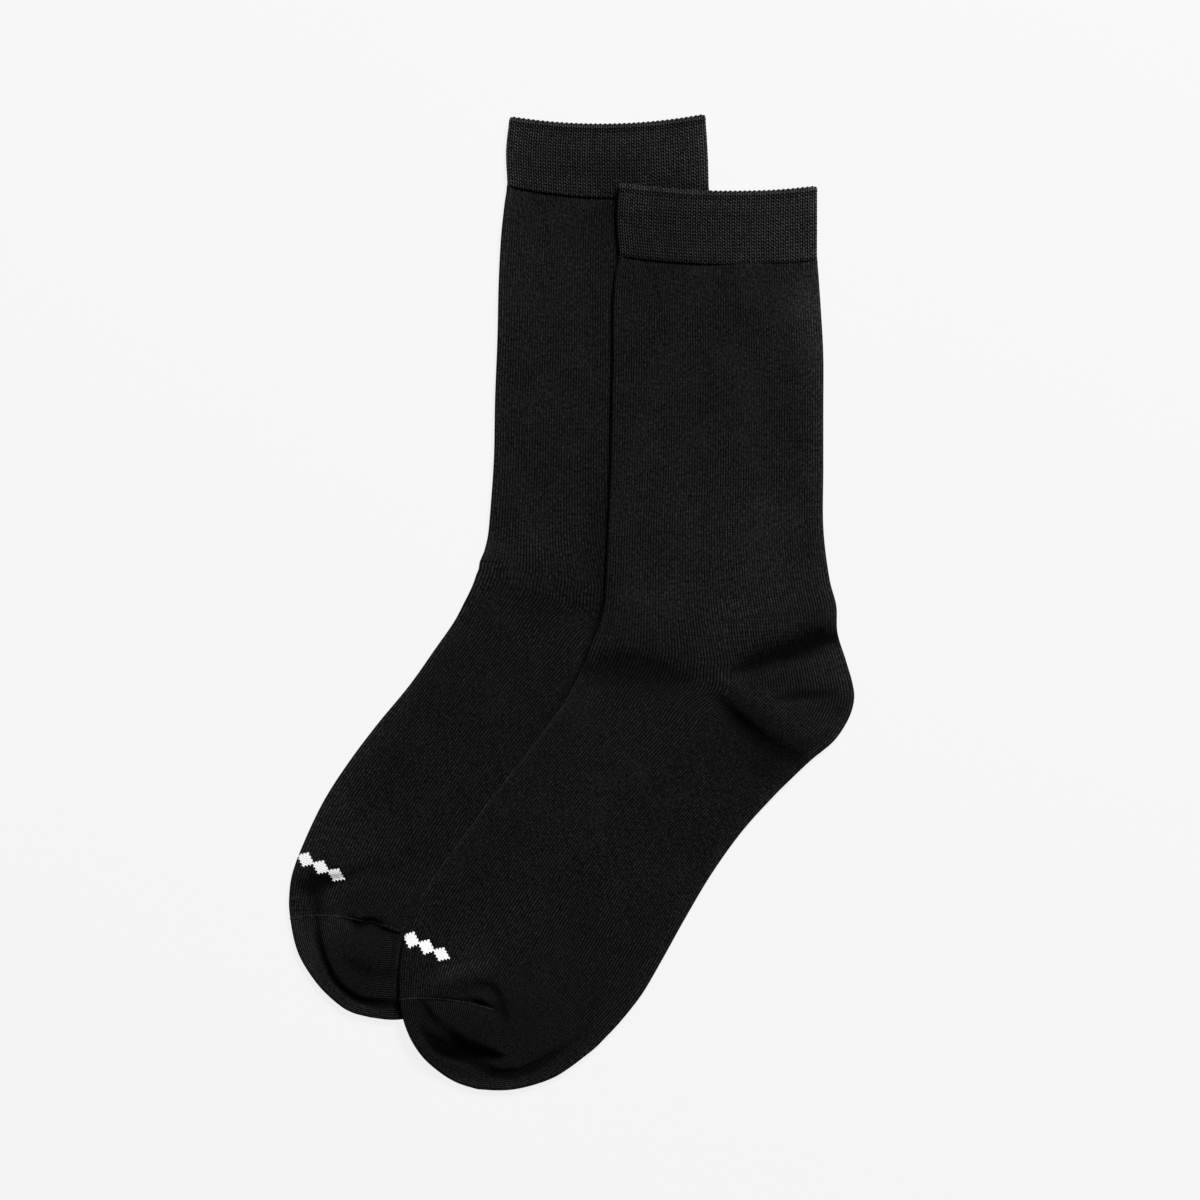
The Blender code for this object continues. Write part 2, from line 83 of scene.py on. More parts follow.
# %% [markdown]
# ## The shape of each sock, seen from above
# A flattened tube is described best by a table with one row for each section: a point on its front
# edge (shin and instep), a point that the section's line bends towards, and a point on its back
# edge (calf, heel and sole). At the heel the rows fan out round the pocket, and at the toe they
# close in on the tip. A smooth curve through the rows then gives a ring at any place.

# %% Tables of sections
Section = namedtuple("Section", "name front_x front_y bend_x bend_y back_x back_y")

UPPER_SECTIONS = [
    Section("mouth", -42.5, 3.5, 0.0, -3.0, 42.0, 2.5),
    Section("cuff_middle", -43.5, -12.5, 0.0, -18.5, 42.0, -13.0),
    Section("hem", -42.5, -27.0, 0.0, -33.0, 42.0, -28.5),
    Section("leg_1", -44.0, -35.0, 0.0, -40.5, 42.5, -36.0),
    Section("leg_2", -45.0, -49.5, 0.0, -54.0, 43.5, -50.5),
    Section("leg_3", -45.0, -69.0, 0.0, -72.0, 44.5, -69.5),
    Section("leg_4", -45.5, -92.0, 0.0, -95.0, 44.5, -92.5),
    Section("leg_5", -46.0, -117.5, 0.0, -119.5, 44.5, -117.5),
    Section("leg_6", -47.0, -143.0, -0.5, -144.5, 44.5, -142.5),
    Section("leg_7", -48.0, -164.5, 0.0, -168.5, 47.0, -163.5),
    Section("ankle", -49.0, -176.5, 1.5, -185.5, 50.0, -175.5),
    Section("heel_crease", -51.0, -185.5, 10.0, -211.0, 50.5, -187.0),
    Section("heel_top", -52.0, -188.0, 8.5, -214.5, 54.0, -198.5),
    Section("heel_upper", -53.0, -190.5, 7.5, -216.5, 57.0, -209.0),
    Section("heel_tip", -54.0, -193.0, 7.0, -217.0, 57.5, -216.0),
    Section("heel_lower", -55.0, -195.5, 6.5, -217.0, 55.0, -224.0),
    Section("heel_bottom", -56.0, -198.5, 5.0, -217.0, 49.0, -233.0),
    Section("heel_under", -57.5, -202.0, 2.5, -217.0, 39.5, -241.0),
    Section("sole_crease", -60.0, -207.0, -1.0, -219.0, 31.5, -248.5),
    Section("foot_1", -64.5, -215.5, -7.5, -227.5, 22.0, -258.0),
    Section("foot_2", -72.0, -226.0, -24.5, -244.5, 9.5, -272.0),
    Section("foot_3", -83.5, -241.0, -41.5, -263.0, -3.0, -289.5),
    Section("foot_4", -96.5, -257.5, -55.0, -282.0, -14.0, -308.0),
    Section("foot_5", -109.0, -274.5, -67.0, -300.5, -24.0, -326.0),
    Section("foot_6", -119.5, -289.0, -75.5, -315.5, -32.5, -340.5),
    Section("foot_7", -128.0, -302.5, -83.5, -329.5, -41.5, -352.0),
    Section("foot_8", -133.5, -316.0, -89.0, -337.0, -48.5, -359.5),
    Section("vamp", -135.5, -329.5, -94.0, -338.0, -52.5, -363.5),
    Section("toe_seam", -135.5, -342.5, -97.5, -338.0, -57.5, -367.5),
    Section("toe_1", -134.0, -351.0, -98.0, -346.5, -63.5, -372.0),
    Section("toe_2", -130.5, -360.0, -98.5, -358.5, -70.0, -376.0),
    Section("toe_3", -125.0, -368.0, -100.5, -369.5, -78.0, -379.0),
    Section("toe_4", -117.5, -374.5, -101.5, -376.5, -86.5, -381.0),
    Section("toe_5", -110.5, -378.5, -102.5, -380.0, -94.0, -381.5),
    Section("tip", -102.5, -381.0, -102.5, -381.0, -102.5, -381.0),
]

LOWER_SECTIONS = [
    Section("mouth", -41.5, 2.0, 0.0, -5.0, 42.0, 3.0),
    Section("cuff_middle", -43.0, -12.5, 0.0, -19.0, 43.0, -12.5),
    Section("hem", -42.5, -27.0, 0.0, -36.5, 43.5, -28.5),
    Section("leg_1", -43.5, -35.0, 0.0, -41.5, 43.5, -36.0),
    Section("leg_2", -45.0, -49.5, 0.0, -55.0, 43.5, -50.5),
    Section("leg_3", -46.0, -69.0, 0.0, -72.0, 44.0, -69.5),
    Section("leg_4", -46.5, -92.0, 0.0, -95.0, 44.5, -92.5),
    Section("leg_5", -47.5, -117.5, 0.0, -119.5, 44.5, -117.5),
    Section("leg_6", -48.0, -143.0, -0.5, -144.5, 44.5, -142.5),
    Section("leg_7", -49.5, -165.0, 0.0, -168.5, 47.0, -163.5),
    Section("ankle", -50.5, -175.5, 1.5, -185.5, 50.0, -175.5),
    Section("heel_crease", -52.0, -182.0, 10.0, -210.5, 50.5, -187.0),
    Section("heel_top", -53.0, -184.5, 8.5, -214.0, 54.0, -198.5),
    Section("heel_upper", -54.0, -187.0, 7.5, -216.0, 57.0, -209.0),
    Section("heel_tip", -54.5, -190.0, 7.0, -217.0, 57.5, -216.0),
    Section("heel_lower", -55.5, -192.5, 6.5, -217.0, 55.0, -224.0),
    Section("heel_bottom", -56.5, -195.5, 5.0, -217.0, 49.0, -233.0),
    Section("heel_under", -58.0, -199.0, 2.5, -217.0, 39.5, -241.0),
    Section("sole_crease", -60.5, -204.0, -1.0, -219.0, 31.5, -248.5),
    Section("foot_1", -65.0, -212.5, -7.5, -227.5, 22.0, -258.0),
    Section("foot_2", -73.0, -224.0, -24.5, -244.5, 9.5, -272.0),
    Section("foot_3", -84.0, -239.5, -41.5, -263.0, -3.0, -289.5),
    Section("foot_4", -98.0, -256.5, -55.0, -282.0, -14.0, -308.0),
    Section("foot_5", -110.0, -272.5, -67.0, -300.5, -24.0, -326.0),
    Section("foot_6", -120.0, -288.0, -75.5, -315.5, -32.5, -340.5),
    Section("foot_7", -128.0, -304.5, -82.5, -329.5, -41.0, -352.0),
    Section("foot_8", -133.5, -319.0, -88.0, -338.5, -47.0, -359.0),
    Section("vamp", -135.0, -330.0, -92.5, -337.0, -51.0, -363.0),
    Section("toe_seam", -134.5, -338.5, -98.0, -330.5, -56.0, -367.0),
    Section("toe_1", -132.5, -349.0, -98.0, -343.5, -63.0, -372.5),
    Section("toe_2", -129.0, -357.5, -97.0, -356.0, -69.5, -375.5),
    Section("toe_3", -122.0, -367.5, -98.0, -369.5, -77.5, -379.0),
    Section("toe_4", -114.0, -375.0, -99.5, -377.0, -85.0, -381.0),
    Section("toe_5", -108.0, -378.5, -98.5, -379.5, -92.0, -381.5),
    Section("tip", -100.5, -380.5, -100.5, -380.5, -100.5, -380.5),
]
print(len(UPPER_SECTIONS), "sections in each sock")

# %% [markdown]
# ## Mounds and troughs
# Pressed flat, a sock isn't even: the heel and toe pockets hold more cloth than a flat tube has
# room for, so they stand up as low pillows with puckered troughs round them. A mound is a soft bump
# with a reach in two directions. A trough is a smooth line whose rows give its half width and its
# depth, so that it can start as nothing, deepen and fade out, as a real crease does.

# %% Tables of mounds
Mound = namedtuple("Mound", "name x y reach_along reach_across turn_degrees rise")

UPPER_MOUNDS = [
    Mound("heel_pocket", 33.0, -209.0, 30.0, 17.0, -12.0, 3.2),
    Mound("heel_underside", 22.0, -222.0, 22.0, 7.0, -38.0, 1.0),
    Mound("ankle", 24.0, -180.0, 36.0, 15.0, 12.0, 2.6),
    Mound("sole", 2.0, -244.0, 30.0, 17.0, 50.0, 1.6),
    Mound("instep", -56.0, -250.0, 52.0, 28.0, 54.0, 1.0),
    Mound("vamp", -104.0, -326.0, 26.0, 11.0, 20.0, 1.9),
    Mound("toe_pocket", -98.0, -353.0, 27.0, 17.0, 14.0, 3.4),
    Mound("shin_slack", -34.0, -180.0, 30.0, 15.0, -4.0, 1.5),
    Mound("calf_slack", 8.0, -110.0, 16.0, 46.0, -20.0, 0.7),
    Mound("hem_corner", 20.0, -54.0, 38.0, 11.0, -68.0, 0.9),
    Mound("heel_ridge", 19.0, -215.0, 22.0, 4.0, -31.0, 0.7),
    Mound("heel_top_ridge", 30.0, -203.5, 26.0, 4.0, 13.0, 0.6),
    Mound("vamp_ridge", -113.0, -331.5, 16.0, 4.5, 36.0, 1.1),
]

LOWER_MOUNDS = [
    Mound("ankle", -30.0, -176.0, 26.0, 15.0, -5.0, 1.4),
    Mound("instep", -76.0, -250.0, 52.0, 20.0, 54.0, 0.7),
    Mound("vamp", -106.0, -309.0, 26.0, 10.0, 14.0, 1.4),
    Mound("toe_top", -105.0, -328.0, 20.0, 8.0, 5.0, 1.3),
    Mound("toe_pocket", -103.0, -352.0, 20.0, 20.0, 0.0, 2.9),
    Mound("toe_arch_ridge", -113.0, -329.0, 16.0, 4.5, 25.0, 0.9),
]
print(len(UPPER_MOUNDS), "mounds in the upper sock,", len(LOWER_MOUNDS), "in the lower")

# %% Tables of tones, some of them painted light and shade, and of taut places
# Tones make places paler or darker. In the lower sock under_cuff, beside_upper_cuff and beside_ankle
# are painted shadow where the upper sock lies beside it, and ankle_bump is a painted highlight on the
# ankle's ridge; in the upper sock beside_heel is painted shade below the heel's crease, and heel_top
# and heel_bottom are painted highlights on the heel. Here rise is the share by which a place is paler.
UPPER_TONES = [
    Mound("cuff_left", -26.0, -21.0, 26.0, 11.0, -5.0, -0.30),
    Mound("cuff_right", 41.0, 0.0, 9.0, 6.0, 0.0, 0.50),
    Mound("leg_corner", 39.5, -54.0, 29.0, 8.5, -78.0, 0.85),
    Mound("calf_edge", 43.0, -110.0, 55.0, 7.0, 90.0, 0.28),
    Mound("lower_leg", 8.0, -143.0, 34.0, 42.0, 80.0, 0.38),
    Mound("above_heel", 8.0, -186.0, 22.0, 9.0, 20.0, 0.25),
    # painted highlights on the heel: heel_top and heel_bottom
    Mound("heel_top", 50.0, -203.0, 12.0, 7.0, 0.0, 0.35),
    Mound("heel_bottom", 41.0, -222.0, 20.0, 7.0, -35.0, 0.50),
    # painted shade below the heel's crease
    Mound("beside_heel", 18.0, -241.0, 18.0, 8.0, -38.0, -0.45),
    Mound("vamp", -104.0, -325.0, 12.0, 6.0, 15.0, 0.08),
    Mound("foot", -70.0, -300.0, 85.0, 50.0, 54.0, 0.08),
]

LOWER_TONES = [
    Mound("cuff_left", -28.0, -22.0, 22.0, 11.0, 0.0, -0.18),
    Mound("cuff_right", 4.0, -24.0, 16.0, 10.0, -5.0, -0.35),
    # painted shadow where the upper sock lies beside the lower one: these three rows
    Mound("under_cuff", 3.0, -44.0, 12.0, 14.0, 0.0, -0.25),
    Mound("beside_upper_cuff", 33.0, -26.5, 8.0, 2.6, -8.0, -0.40),
    Mound("beside_ankle", -1.0, -181.0, 8.0, 24.0, 0.0, -0.35),
    Mound("shin", -30.0, -85.0, 70.0, 14.0, 90.0, 0.08),
    Mound("shin_top", -42.0, -55.0, 34.0, 7.0, 90.0, 0.22),
    # painted highlight on the ankle's ridge
    Mound("ankle_bump", -38.0, -181.0, 20.0, 7.0, 0.0, 0.45),
    Mound("instep_edge", -104.0, -270.0, 50.0, 7.0, 58.0, 0.25),
    Mound("vamp", -118.0, -302.0, 24.0, 10.0, 60.0, 0.40),
    Mound("vamp_top", -106.0, -311.0, 13.0, 6.0, 10.0, 0.35),
    Mound("toe_arch", -116.5, -336.5, 8.0, 9.5, 0.0, 0.75),
    Mound("vamp_right", -78.0, -322.0, 12.0, 8.0, -30.0, 0.20),
]

# Where the cloth is stretched or bent its fibres lie flat, and the wales show more plainly. Here
# rise is how taut the cloth is, where 1 is fully.
UPPER_TAUT = [
    Mound("heel_pocket", 32.0, -212.0, 34.0, 26.0, -10.0, 1.0),
    Mound("above_heel", 36.0, -176.0, 22.0, 14.0, 10.0, 0.6),
    Mound("ankle", -24.0, -201.0, 36.0, 14.0, -8.0, 0.9),
    Mound("toe", -100.0, -357.0, 44.0, 26.0, 0.0, 1.2),
]

LOWER_TAUT = [Mound("toe", -110.0, -354.0, 40.0, 34.0, 0.0, 1.2)]
print(len(UPPER_TONES), "tones in the upper sock,", len(LOWER_TONES), "in the lower")

# %% Tables of troughs
# Walking along the rows, left_width and right_width are the half widths of the two banks.
Trough = namedtuple("Trough", "x y left_width right_width depth")

# A trough's depth also darkens the colour there, as painted shade.
UPPER_TROUGHS = {
    "above_heel": [
        Trough(0.0, -205.5, 3.0, 2.0, 0.0), Trough(7.0, -203.9, 4.0, 2.4, 0.8),
        Trough(13.5, -201.7, 4.6, 3.4, 2.4), Trough(20.5, -199.4, 4.8, 3.2, 3.0),
        Trough(27.5, -197.2, 5.0, 3.2, 3.9), Trough(34.5, -194.7, 4.8, 3.3, 4.2),
        Trough(41.5, -191.1, 4.0, 3.2, 4.4), Trough(48.5, -189.2, 3.4, 2.7, 3.0),
        Trough(54.0, -188.4, 3.0, 2.4, 2.0),
    ],
    "below_heel": [
        Trough(-6.0, -208.5, 3.0, 3.0, 0.0), Trough(-2.5, -212.5, 2.6, 3.0, 0.3),
        Trough(1.9, -218.0, 2.8, 3.0, 1.2), Trough(8.4, -224.9, 2.8, 3.2, 2.9),
        Trough(15.5, -231.1, 3.2, 4.0, 2.7), Trough(24.0, -237.3, 3.6, 4.0, 1.9),
        Trough(32.8, -240.9, 2.8, 3.4, 1.8), Trough(40.0, -243.4, 2.4, 3.0, 0.8),
    ],
    "heel_middle": [
        Trough(22.0, -216.0, 2.0, 1.8, 0.0), Trough(28.0, -215.6, 2.4, 1.8, 0.9),
        Trough(36.0, -214.6, 2.4, 1.8, 1.1), Trough(43.5, -213.8, 2.2, 1.8, 0.8),
        Trough(51.0, -214.0, 2.0, 1.8, 0.0),
    ],
    "ankle": [
        Trough(-60.0, -204.0, 4.0, 8.0, 0.4), Trough(-52.0, -201.0, 4.5, 8.5, 1.4),
        Trough(-42.0, -200.8, 5.0, 9.0, 1.8), Trough(-33.5, -201.8, 5.0, 9.0, 1.8),
        Trough(-25.0, -204.0, 4.5, 8.0, 1.6), Trough(-16.5, -207.0, 4.0, 7.0, 1.0),
        Trough(-9.0, -210.5, 3.5, 6.0, 0.0),
    ],
    "toe_wedge": [
        Trough(-127.5, -341.0, 1.6, 2.0, 0.0), Trough(-125.3, -345.0, 1.7, 3.0, 1.1),
        Trough(-121.8, -350.2, 1.5, 4.8, 1.5), Trough(-115.5, -356.6, 2.4, 4.0, 1.3),
        Trough(-108.5, -361.3, 1.7, 3.0, 4.0), Trough(-101.4, -363.7, 1.3, 2.2, 3.2),
        Trough(-94.3, -366.1, 1.0, 3.0, 1.0), Trough(-89.5, -367.4, 1.2, 2.0, 0.0),
    ],
    "toe_left": [
        Trough(-126.5, -353.5, 2.0, 2.0, 0.4), Trough(-124.0, -358.6, 2.6, 1.6, 2.4),
        Trough(-118.8, -363.7, 3.4, 2.0, 5.2), Trough(-112.0, -366.2, 3.8, 2.0, 6.4),
        Trough(-103.1, -365.8, 2.2, 3.2, 4.2), Trough(-96.5, -366.8, 1.5, 2.6, 2.0),
        Trough(-91.0, -368.2, 1.4, 2.0, 0.0),
    ],
    "toe_right": [
        Trough(-108.0, -368.6, 2.4, 1.8, 0.6), Trough(-101.4, -371.8, 3.4, 2.2, 1.9),
        Trough(-96.1, -373.9, 1.7, 2.1, 3.2), Trough(-89.0, -374.5, 1.6, 2.2, 2.6),
        Trough(-81.9, -373.0, 1.5, 2.2, 2.4), Trough(-73.0, -368.2, 1.5, 2.4, 1.9),
        Trough(-64.2, -362.8, 1.5, 1.6, 0.6), Trough(-58.0, -355.5, 1.6, 1.6, 0.2),
        Trough(-53.0, -347.0, 1.6, 1.6, 0.2), Trough(-50.0, -338.0, 1.6, 1.6, 0.0),
    ],
    "seam_end": [
        Trough(-128.0, -342.2, 0.9, 0.9, 0.0), Trough(-120.0, -342.7, 0.9, 0.9, 0.9),
        Trough(-112.5, -343.2, 1.0, 0.9, 0.9), Trough(-106.0, -343.5, 1.3, 1.6, 1.0),
        Trough(-101.5, -344.4, 1.5, 2.0, 2.4), Trough(-98.0, -345.6, 1.3, 2.2, 1.5),
        Trough(-94.0, -347.4, 2.4, 2.0, 0.7), Trough(-90.5, -349.6, 1.6, 1.6, 0.0),
    ],
    "inner_arc": [
        Trough(-112.0, -340.2, 2.0, 2.6, 0.1), Trough(-107.0, -338.4, 2.0, 2.8, 0.6),
        Trough(-101.5, -336.6, 1.8, 2.8, 1.0), Trough(-95.8, -338.2, 1.8, 2.4, 1.2),
        Trough(-92.6, -343.6, 1.8, 2.4, 1.2), Trough(-91.2, -350.0, 1.8, 2.4, 0.9),
        Trough(-91.4, -356.0, 2.0, 2.0, 0.0),
    ],
    "under_cuff": [
        Trough(-43.0, -27.0, 1.0, 1.4, 0.2), Trough(-30.0, -28.8, 1.1, 1.7, 0.5),
        Trough(-15.0, -30.1, 1.1, 1.8, 0.7), Trough(-2.0, -30.3, 1.1, 1.7, 0.6),
        Trough(10.0, -30.2, 1.0, 1.4, 0.2), Trough(22.0, -29.8, 1.0, 1.2, 0.1),
        Trough(42.0, -28.6, 1.0, 1.0, 0.1),
    ],
}

LOWER_TROUGHS = {
    "ankle": [
        Trough(-52.0, -196.0, 4.0, 8.0, 0.0), Trough(-44.0, -199.0, 4.0, 8.0, 0.2),
        Trough(-32.0, -203.0, 5.0, 9.0, 0.4), Trough(-19.0, -207.5, 5.0, 8.0, 0.4),
        Trough(-6.0, -211.0, 5.0, 8.0, 0.5),
    ],
    "toe_ring": [
        Trough(-126.0, -320.0, 1.8, 1.6, 0.5), Trough(-124.2, -328.0, 2.6, 3.0, 1.3),
        Trough(-123.4, -339.0, 1.3, 1.4, 1.3), Trough(-122.8, -346.9, 1.3, 1.4, 2.2),
        Trough(-120.2, -355.7, 1.3, 1.3, 3.0), Trough(-115.9, -364.7, 1.3, 1.15, 3.0),
        Trough(-109.6, -370.8, 1.35, 1.15, 3.2), Trough(-101.8, -374.3, 1.4, 1.15, 4.0),
        Trough(-88.5, -375.1, 2.0, 2.0, 0.9), Trough(-78.0, -374.0, 2.2, 1.2, 0.8),
    ],
    "cross": [
        Trough(-136.5, -324.6, 2.2, 2.2, 0.6), Trough(-131.5, -324.8, 2.4, 2.6, 1.2),
        Trough(-124.5, -324.2, 2.2, 4.0, 3.0), Trough(-118.5, -322.9, 1.8, 2.2, 3.0),
        Trough(-113.5, -321.6, 1.4, 1.8, 1.4),
    ],
    "arch": [
        Trough(-117.0, -323.0, 1.4, 1.8, 1.2), Trough(-110.0, -320.6, 1.3, 1.6, 1.1),
        Trough(-101.5, -317.5, 2.2, 2.0, 0.5), Trough(-92.0, -318.5, 2.2, 2.0, 0.5),
        Trough(-83.5, -322.5, 2.0, 2.0, 0.4), Trough(-75.0, -328.5, 2.0, 1.8, 0.0),
    ],
    "seam_end": [
        Trough(-113.5, -338.8, 1.4, 1.2, 0.0), Trough(-108.9, -339.6, 2.2, 1.5, 1.6),
        Trough(-105.4, -341.0, 1.8, 2.4, 3.2), Trough(-102.7, -340.1, 1.5, 2.4, 3.4),
        Trough(-99.1, -340.1, 1.6, 2.6, 2.8), Trough(-95.6, -342.4, 2.2, 2.8, 1.5),
        Trough(-91.2, -345.6, 3.2, 2.2, 0.7), Trough(-86.5, -349.0, 1.6, 1.6, 0.0),
    ],
    "toe_middle": [
        Trough(-112.5, -354.5, 3.0, 2.5, 0.0), Trough(-107.2, -359.2, 3.4, 3.0, 1.2),
        Trough(-98.5, -363.0, 4.0, 3.5, 0.8), Trough(-90.5, -363.0, 4.0, 3.5, 0.6),
        Trough(-84.5, -360.0, 3.5, 2.5, 0.0),
    ],
    # Partly a dent and partly painted shadow: the lower sock is darkened where the upper sock's edge
    # shades it.
    "beside_upper_ankle": [
        Trough(-2.8, -205.0, 1.2, 1.2, 0.4), Trough(-5.4, -218.0, 1.2, 1.3, 1.6),
        Trough(-9.4, -228.7, 1.2, 1.3, 1.9), Trough(-13.6, -237.9, 1.1, 1.2, 1.5),
        Trough(-18.2, -245.7, 1.0, 1.1, 0.9), Trough(-25.5, -256.0, 1.0, 1.0, 0.3),
        Trough(-37.0, -271.0, 1.0, 1.0, 0.0),
    ],
    "under_cuff": [
        Trough(-43.0, -27.0, 1.0, 1.3, 0.3), Trough(-30.0, -29.9, 1.1, 1.7, 0.6),
        Trough(-15.0, -31.7, 1.1, 1.7, 0.6), Trough(0.0, -32.2, 1.1, 1.6, 0.5),
        Trough(20.0, -31.4, 1.0, 1.4, 0.5), Trough(43.0, -28.6, 1.0, 1.2, 0.5),
    ],
}

print(len(UPPER_TROUGHS), "troughs in the upper sock,", len(LOWER_TROUGHS), "in the lower")

# %% Tables of streaks of painted light
# Streaks are painted light: highlights on the crests beside creases, on the toe's rim and along the
# upper sock's instep fold, and lighter shade along the hems and where the upper sock's toe lies on
# the lower one. These rows are read as the troughs' are, and paler is the share.
Streak = namedtuple("Streak", "x y left_width right_width paler")

UPPER_STREAKS = {
    # painted light in the shade under the hem
    "hem_shade_lifted": [
        Streak(-43.0, -27.5, 0.6, 0.6, 0.4), Streak(-30.0, -29.0, 0.6, 0.6, 0.8),
        Streak(-15.0, -30.2, 0.6, 0.6, 1.0), Streak(-2.0, -30.5, 0.6, 0.6, 0.9),
        Streak(10.0, -30.4, 0.6, 0.6, 0.3), Streak(22.0, -30.0, 0.6, 0.6, 0.0),
    ],
    "heel_crest": [
        Streak(-2.5, -205.5, 2.0, 2.0, 0.0), Streak(3.0, -207.5, 2.4, 3.0, 0.45),
        Streak(10.5, -212.3, 2.4, 3.4, 0.7), Streak(19.0, -217.7, 2.6, 3.4, 0.7),
        Streak(27.5, -223.4, 3.0, 3.0, 0.6), Streak(35.5, -228.6, 3.0, 2.6, 0.35),
        Streak(43.0, -232.0, 3.0, 2.4, 0.0),
    ],
    "vamp_crest": [
        Streak(-124.0, -342.0, 2.5, 3.0, 0.0), Streak(-121.4, -337.5, 2.5, 3.2, 0.2),
        Streak(-117.0, -333.6, 3.0, 3.4, 0.9), Streak(-111.0, -330.8, 3.0, 3.4, 1.2),
        Streak(-103.5, -328.8, 3.0, 3.4, 0.9), Streak(-95.5, -326.8, 3.0, 3.4, 0.4),
        Streak(-89.0, -328.0, 3.0, 3.0, 0.0),
    ],
    "toe_rim": [
        Streak(-133.0, -347.0, 2.4, 2.4, 0.0), Streak(-129.5, -358.0, 2.4, 2.4, 0.25),
        Streak(-121.5, -368.5, 2.4, 2.4, 0.35), Streak(-110.0, -376.0, 2.4, 2.4, 0.35),
        Streak(-97.0, -379.0, 2.4, 2.4, 0.3), Streak(-84.0, -378.5, 2.4, 2.4, 0.3),
        Streak(-72.0, -373.0, 2.4, 2.4, 0.2), Streak(-62.0, -367.0, 2.4, 2.4, 0.0),
    ],
    "instep_fold": [
        Streak(-57.5, -202.0, 0.9, 0.9, 0.0), Streak(-64.2, -215.7, 0.9, 0.9, 0.5),
        Streak(-71.7, -226.2, 0.9, 0.9, 0.5), Streak(-83.2, -241.2, 0.9, 0.9, 0.35),
        Streak(-96.2, -257.7, 0.9, 0.9, 0.3), Streak(-108.7, -274.7, 0.9, 0.9, 0.25),
        Streak(-119.2, -289.2, 0.9, 0.9, 0.2), Streak(-127.7, -302.7, 0.9, 0.9, 0.0),
    ],
}

LOWER_STREAKS = {
    # painted light in the shade under the hem
    "hem_shade_lifted": [
        Streak(-43.0, -27.5, 0.6, 0.6, 0.5), Streak(-30.0, -30.1, 0.6, 0.6, 1.0),
        Streak(-15.0, -31.9, 0.6, 0.6, 1.1), Streak(0.0, -32.4, 0.6, 0.6, 0.9),
        Streak(20.0, -31.6, 0.6, 0.6, 0.2), Streak(43.0, -29.0, 0.6, 0.6, 0.0),
    ],
    "toe_rim": [
        Streak(-130.5, -328.0, 4.0, 4.0, 0.05), Streak(-130.0, -341.0, 4.4, 4.0, 0.85),
        Streak(-127.0, -353.0, 4.0, 4.0, 1.15), Streak(-121.8, -363.6, 2.8, 3.2, 0.85),
        Streak(-112.5, -373.0, 2.2, 3.0, 0.4), Streak(-103.0, -377.6, 2.0, 3.0, 0.4),
        Streak(-96.0, -379.0, 2.0, 3.0, 0.3),
    ],
    # painted light in the shade that the upper sock's toe casts on the lower one
    "beside_upper_toe": [
        Streak(-85.0, -338.0, 0.9, 0.9, 0.0), Streak(-86.8, -346.0, 0.9, 0.9, 0.8),
        Streak(-88.1, -354.0, 0.9, 0.9, 1.4), Streak(-89.0, -362.6, 0.9, 0.9, 1.5),
        Streak(-89.0, -369.8, 0.8, 0.8, 0.5), Streak(-88.0, -375.0, 0.8, 0.8, 0.0),
    ],
}

print(len(UPPER_STREAKS), "streaks in the upper sock,", len(LOWER_STREAKS), "in the lower")

# %% The two socks
# place is where a sock's own plan, with the middle of its mouth at 0, 0, lies on the floor.
Sock = namedtuple("Sock", "name place sections mounds troughs tones streaks taut")
LOWER = Sock(
    "lower", (15.0, 204.25), LOWER_SECTIONS, LOWER_MOUNDS, LOWER_TROUGHS, LOWER_TONES,
    LOWER_STREAKS, LOWER_TAUT,
)
UPPER = Sock(
    "upper", (62.5, 174.25), UPPER_SECTIONS, UPPER_MOUNDS, UPPER_TROUGHS, UPPER_TONES,
    UPPER_STREAKS, UPPER_TAUT,
)
print("the upper sock lies", np.subtract(UPPER.place, LOWER.place), "mm from the lower one")

# %% [markdown]
# ## Curves through the tables
# A Catmull-Rom curve passes through every row of a table and bends smoothly between rows, so a few
# rows describe a long shape. The same function serves the sections and the troughs.


# %% Smooth curves
def smooth_rows(rows, places):
    """Values on a smooth curve through the rows, at places counted in rows from 0."""
    rows = np.array(rows, float)
    places = np.atleast_1d(np.asarray(places, float))
    padded = np.vstack([2 * rows[0] - rows[1], rows, 2 * rows[-1] - rows[-2]])
    k = np.minimum(places.astype(int), len(rows) - 2)
    t = (places - k)[:, None]
    before, here, after, beyond = (padded[k + i] for i in range(4))
    return 0.5 * (
        2 * here
        + (after - before) * t
        + (2 * before - 5 * here + 4 * after - beyond) * t**2
        + (3 * here - before - 3 * after + beyond) * t**3
    )


def sections_at(sock, places):
    return smooth_rows([row[1:] for row in sock.sections], places)


def row_number(sock, name):
    return [row.name for row in sock.sections].index(name)


def fine_places(first, last, per_row=12):
    """Places from one row to another, as many to a row as a smooth line needs."""
    return np.linspace(first, last, per_row * abs(last - first) + 1)


print("the hem is row", row_number(UPPER, "hem"), "and the toe seam row", row_number(UPPER, "toe_seam"))


# %% Lines and lengths
def ring_lines(sections, t):
    """Points of each section's line at shares t, from its front edge (0) to its back edge (1)."""
    t = np.asarray(t, float)[None, :, None]
    front, bend, back = (sections[:, None, i : i + 2] for i in (0, 2, 4))
    return (1 - t) ** 2 * front + 2 * t * (1 - t) * bend + t**2 * back


def run_along(line):
    """The distance of each point of a line from its start."""
    steps = np.linalg.norm(np.diff(line, axis=0), axis=1)
    return np.concatenate([[0], np.cumsum(steps)])


def at_distances(line, distances):
    run = run_along(line)
    return np.stack([np.interp(distances, run, line[:, i]) for i in (0, 1)], axis=1)


mouth = ring_lines(sections_at(UPPER, [0]), [0, 1])[0]
print("the upper sock's mouth is", round(run_along(mouth)[-1], 1), "mm wide")


# %% The nearest place on a line
BLOCK = 3000  # points that are compared with a line at a time
OUT_OF_REACH = 1e3  # keeps places outside a window from being the nearest


